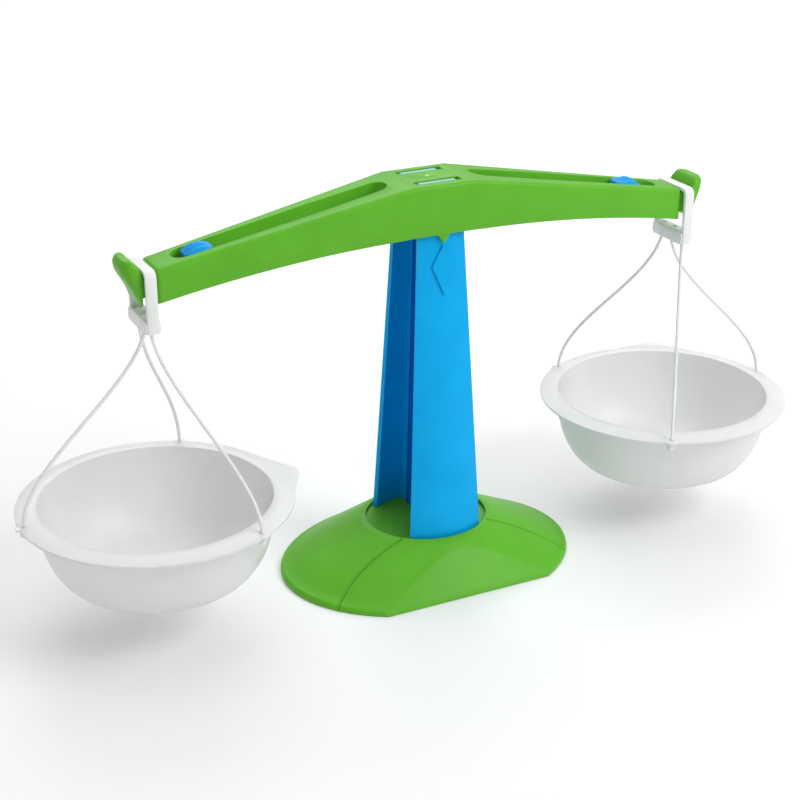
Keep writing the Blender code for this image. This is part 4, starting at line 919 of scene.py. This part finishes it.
def bowl_outline():
    """Half section of the bowl: up the inside, over the sloping rim and down the outside."""
    wall_top = BOWL_RIM + BOWL_FLANGE_RISE
    under_top = wall_top - BOWL_FLANGE_THICKNESS
    under_rim = BOWL_RIM - BOWL_FLANGE_THICKNESS
    wall_radius = BOWL_RADIUS - BOWL_FLANGE
    inside, outside = [(0, BOWL_BOTTOM + BOWL_WALL)], []
    for k in range(BOWL_STEPS):
        turn = pi / 2 * k / BOWL_STEPS
        inside.append((mix(BOWL_FLOOR_RADIUS, wall_radius, sin(turn)),
                       mix(wall_top, BOWL_BOTTOM + BOWL_WALL, cos(turn))))
        outside.append((mix(BOWL_FLOOR_RADIUS, wall_radius + BOWL_WALL, sin(turn)),
                        mix(under_top, BOWL_BOTTOM, cos(turn))))
    inside += [(wall_radius, wall_top - RIM_ROUND),
               (wall_radius + RIM_ROUND_SHOULDER, wall_top - RIM_ROUND_SHOULDER),
               (wall_radius + RIM_ROUND, wall_top)]
    rim = [(mix(wall_radius, BOWL_RADIUS, 0.5), mix(BOWL_RIM, wall_top, 0.5)),
           (BOWL_RADIUS - LIP_ROUND, BOWL_RIM),
           (BOWL_RADIUS - LIP_ROUND_SHOULDER, BOWL_RIM - LIP_ROUND_SHOULDER),
           (BOWL_RADIUS, BOWL_RIM - LIP_ROUND), (BOWL_RADIUS, under_rim + LIP_UNDER_ROUND),
           (BOWL_RADIUS - LIP_UNDER_ROUND, under_rim),
           (wall_radius + BOWL_WALL + RIM_ROUND, under_top),
           (wall_radius + BOWL_WALL + RIM_ROUND_SHOULDER, under_top - RIM_ROUND_SHOULDER)]
    return inside + rim + outside[::-1] + [(0, BOWL_BOTTOM)]


def make_spout(low, high, turn):
    """Pouring lip: a flat block drawn together to a rounded tip, turned about the middle."""
    root = BOWL_RADIUS - BOWL_FLANGE / 2
    tip = BOWL_RADIUS + SPOUT_REACH
    spout = add_block("spout", (root, -SPOUT_HALF_WIDTH, low), (tip, SPOUT_HALF_WIDTH, high))
    open_mesh(spout)
    pick(spout, "FACE", lambda f: f.normal.x > 0.9)
    grow((1, SPOUT_TIP_HALF_WIDTH / SPOUT_HALF_WIDTH, 1), (0, 0, 0))
    pick(spout, "EDGE", lambda e: min(v.co.x for v in e.verts) > tip - NEAR
         and abs(e.verts[0].co.z - e.verts[1].co.z) > NEAR)
    bpy.ops.mesh.bevel(offset=SPOUT_ROUNDING, segments=4, affect="EDGES")
    close_mesh()
    spout.matrix_world = Matrix.Rotation(turn, 4, "Z")
    take(spout)
    bpy.ops.object.transform_apply(location=True, rotation=True, scale=True)
    return spout


def make_bowl(name, x, side):
    """Bowl spun from its section, with three ears for the strands and a pouring lip."""
    bowl = spun(name, bowl_outline(), BOWL_SIDES)
    low, high = BOWL_RIM - BOWL_WALL + FIT_GAP / 2, BOWL_RIM - FIT_GAP / 3
    places = [(EAR_PLACE * cos(t), EAR_PLACE * sin(t)) for t in (0, 2 * pi / 3, -2 * pi / 3)]
    ears = [add_rod("ear", EAR_RADIUS, (*place, low), (*place, high)) for place in places]
    cut(bowl, ears + [make_spout(low, high, SPOUT_TURNS[side])], "UNION")
    holes = [add_rod("hole", STRAND_RADIUS + FIT_GAP, (*place, low - OVERRUN),
                     (*place, high + OVERRUN), SMALL_ROD_SIDES) for place in places]
    cut(bowl, holes)
    facing = Matrix.Rotation(pi, 4, "Z") if side < 0 else Matrix()
    bowl.matrix_world = Matrix.Translation((x, 0, 0)) @ facing
    take(bowl)
    bpy.ops.object.transform_apply(location=True, rotation=True, scale=True)
    smooth(bowl, 40)
    return bowl


def make_strand(name, side, root, turn):
    """Stiff moulded strand: down from its ball, out in an S and through its ear to a knob."""
    x = side * HANGER_PLACE
    start = Vector((x, root, BALL_HEIGHT))
    end = Vector((x + EAR_PLACE * cos(turn), EAR_PLACE * sin(turn),
                  BOWL_RIM - BOWL_FLANGE_THICKNESS - FIT_GAP - KNOB_RADIUS))
    high = HANGER_BOTTOM - STRAND_STRAIGHT
    low = BOWL_RIM + BOWL_FLANGE_THICKNESS
    points = []
    for k in range(STRAND_POINTS):
        height = mix(start.z, end.z, k / (STRAND_POINTS - 1))
        share = min(1.0, max(0.0, (high - height) / (high - low)))
        rest = 1 - share
        out = share * share * (3 - 2 * share)
        out += STRAND_START_SHARE * share * rest * rest - STRAND_END_SHARE * share * share * rest
        points.append((mix(start.x, end.x, out), mix(start.y, end.y, out), height))
    strand = drawn_bar(name, points, STRAND_RADIUS)
    ends = []
    for place, radius in ((start, BALL_RADIUS), (end, KNOB_RADIUS)):
        bpy.ops.mesh.primitive_uv_sphere_add(segments=32, ring_count=20, radius=radius,
                                             location=place)
        ends.append(name_added("end"))
    cut(strand, ends, "UNION")
    smooth(strand, 50)
    return strand


def make_hanger(name, side):
    """White stirrup over the neck, with a thicker bar that takes the ball ends."""
    x = side * HANGER_PLACE
    half = HANGER_WIDTH / 2
    hanger = add_block(name, (x - half, -HANGER_HALF_DEPTH, HANGER_BOTTOM),
                       (x + half, HANGER_HALF_DEPTH, HANGER_TOP))
    inside = add_block("inside", (x - 2 * half, HANGER_STRAP - HANGER_HALF_DEPTH, BAR_TOP),
                       (x + 2 * half, HANGER_HALF_DEPTH - HANGER_STRAP, HANGER_TOP - HANGER_STRAP))
    for piece, radius in ((hanger, HANGER_CORNER), (inside, HANGER_CORNER - HANGER_STRAP)):
        open_mesh(piece, "EDGE")
        pick(piece, "EDGE", lambda e: all(v.co.z > BAR_TOP + OVERRUN for v in e.verts)
             and abs(e.verts[0].co.x - e.verts[1].co.x) > APART)
        bpy.ops.mesh.bevel(offset=radius, segments=8, affect="EDGES")
        close_mesh()
    cut(hanger, [inside])
    bar = add_block("bar", (x - BAR_WIDTH / 2, BAR_INSET - HANGER_HALF_DEPTH,
                            HANGER_BOTTOM - BAR_INSET / 2),
                    (x + BAR_WIDTH / 2, HANGER_HALF_DEPTH - BAR_INSET, BAR_TOP + BAR_INSET / 2))
    open_mesh(bar, "EDGE")
    pick(bar, "EDGE", lambda e: abs(e.verts[0].co.x - e.verts[1].co.x) > APART)
    bpy.ops.mesh.bevel(offset=HANGER_STRAP, segments=6, affect="EDGES")
    close_mesh()
    cut(hanger, [bar], "UNION")
    cups = []
    for y in (-ROOT_SPACING, 0, ROOT_SPACING):
        cups.append(add_rod("cup", BALL_RADIUS + FIT_GAP,
                            (x, y, BALL_HEIGHT - BALL_RADIUS - FIT_GAP),
                            (x, y, BAR_TOP + 2 * FIT_GAP), 32))
        cups.append(add_block(
            "cup_slot",
            (x - BALL_RADIUS + FIT_GAP / 3, y - STRAND_RADIUS - FIT_GAP, HANGER_BOTTOM - OVERRUN),
            (x + BALL_RADIUS - FIT_GAP / 3, y + STRAND_RADIUS + FIT_GAP, BALL_HEIGHT)))
    cut(hanger, cups)
    soften(hanger, FINE_ROUNDING, angle=45, segments=2)
    smooth(hanger)
    return hanger


# Surroundings

def add_light(name, place, size, power, target):
    """Soft square lamp that faces a place."""
    bpy.ops.object.light_add(type="AREA", location=place)
    lamp = bpy.context.active_object
    lamp.name = name
    lamp.data.shape = "SQUARE"
    lamp.data.size = size
    lamp.data.energy = power
    lamp.rotation_euler = (Vector(target) - Vector(place)).to_track_quat("-Z", "Y").to_euler()


def set_the_room():
    """Pale table, plain studio light and the camera at the photo's angle."""
    bpy.ops.mesh.primitive_plane_add(size=TABLE_SIZE, location=(0, TABLE_MIDDLE, 0))
    floor = name_added("table_top")
    sheet = bpy.data.materials.new("white_table")
    sheet.use_nodes = True
    shader = sheet.node_tree.nodes["Principled BSDF"]
    shader.inputs["Base Color"].default_value = TABLE_WHITE
    shader.inputs["Roughness"].default_value = TABLE_ROUGHNESS
    floor.data.materials.append(sheet)

    world = bpy.data.worlds.new("studio")
    world.use_nodes = True
    backdrop = world.node_tree.nodes["Background"]
    backdrop.inputs["Color"].default_value = (1, 1, 1, 1)
    backdrop.inputs["Strength"].default_value = STUDIO_STRENGTH
    bpy.context.scene.world = world
    for lamp in LAMPS:
        add_light(*lamp)
    bpy.context.scene.view_settings.view_transform = "Standard"

    bpy.ops.object.camera_add(location=CAMERA_PLACE,
                              rotation=(radians(90 - CAMERA_DOWN), 0, radians(CAMERA_TURN)))
    camera = bpy.context.active_object
    camera.data.sensor_width = CAMERA_SENSOR
    camera.data.lens = CAMERA_LENS
    bpy.context.scene.camera = camera


def finish_cad_pieces(finishes):
    """Give the CAD's own small pieces better materials, chosen by how their names start."""
    for name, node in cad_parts.items():
        for start, material in finishes.items():
            if name.startswith(start):
                for place in node.material_slots:
                    place.material = material


def main():
    green, shader = moulded("green_moulding", GREEN, 0.40)
    # painted shade darkens the creases on the base
    shade_part(green, shader, dome_crease_painted_shade, CREASE_PAINTED_SHADE_FACTORS)
    beam_green, shader = moulded("beam_green_moulding", GREEN, 0.38)
    shade_part(beam_green, shader, gate_mark, GATE_FACTORS)
    blue, shader = moulded("blue_moulding", BLUE, 0.42)
    shader.inputs["Specular IOR Level"].default_value = 0.10
    # painted shade darkens the recess between the column's plates
    shade_part(blue, shader, column_recess_painted_shade, RECESS_PAINTED_SHADE_FACTORS)
    slider_blue, shader = moulded("slider_blue_moulding", SLIDER_BLUE, 0.34)
    shader.inputs["Specular IOR Level"].default_value = 0.14
    white, _ = moulded("white_nylon_moulding", WHITE, 0.42, shades=0.97)
    pale, _ = moulded("pale_bearing_moulding", PALE_BLUE, 0.38)
    steel = brushed("drawn_steel", STEEL, 0.30)
    rubber, _ = moulded("grey_rubber_moulding", RUBBER_GREY, 0.78, grain=0.25)
    milky, shader = moulded("milky_moulding", MILKY, 0.30, shades=0.99)
    shader.inputs["Specular IOR Level"].default_value = 0.45
    shader.inputs["Transmission Weight"].default_value = 0.35
    shader.inputs["IOR"].default_value = 1.30
    shader.inputs["Subsurface Weight"].default_value = 0.6
    shader.inputs["Subsurface Radius"].default_value = [MILKY_SCATTER] * 3

    finish_cad_pieces({"left_slider": slider_blue, "right_slider": slider_blue, "bearing": pale,
                       "foot": rubber, "pivot": steel, "column_screw": steel})
    dress(make_base(), green, "stand", "green_plastic", "base")
    dress(make_column(), blue, "stand", "column_blue_plastic", "column")
    dress(make_beam(), beam_green, "beam", "beam_green_plastic", "beam")
    for name, side in (("left", -1), ("right", 1)):
        dress(make_hanger(name + "_stirrup", side), white, name + "_hanger", "white_nylon",
              name + "_hanger")
        body = name + "_pan"
        dress(make_bowl(name + "_pan_bowl", side * HANGER_PLACE, side), milky, body,
              "milky_plastic", name + "_bowl")
        outward = 0.0 if side > 0 else pi
        rear = outward + side * 2 * pi / 3
        for ear, turn, root in (("outer", outward, 0.0), ("rear", rear, ROOT_SPACING),
                                ("front", -rear, -ROOT_SPACING)):
            strand = make_strand(name + "_strand_line_" + ear, side, root, turn)
            dress(strand, white, body, "white_nylon", name + "_strand_" + ear)
    set_the_room()


main()
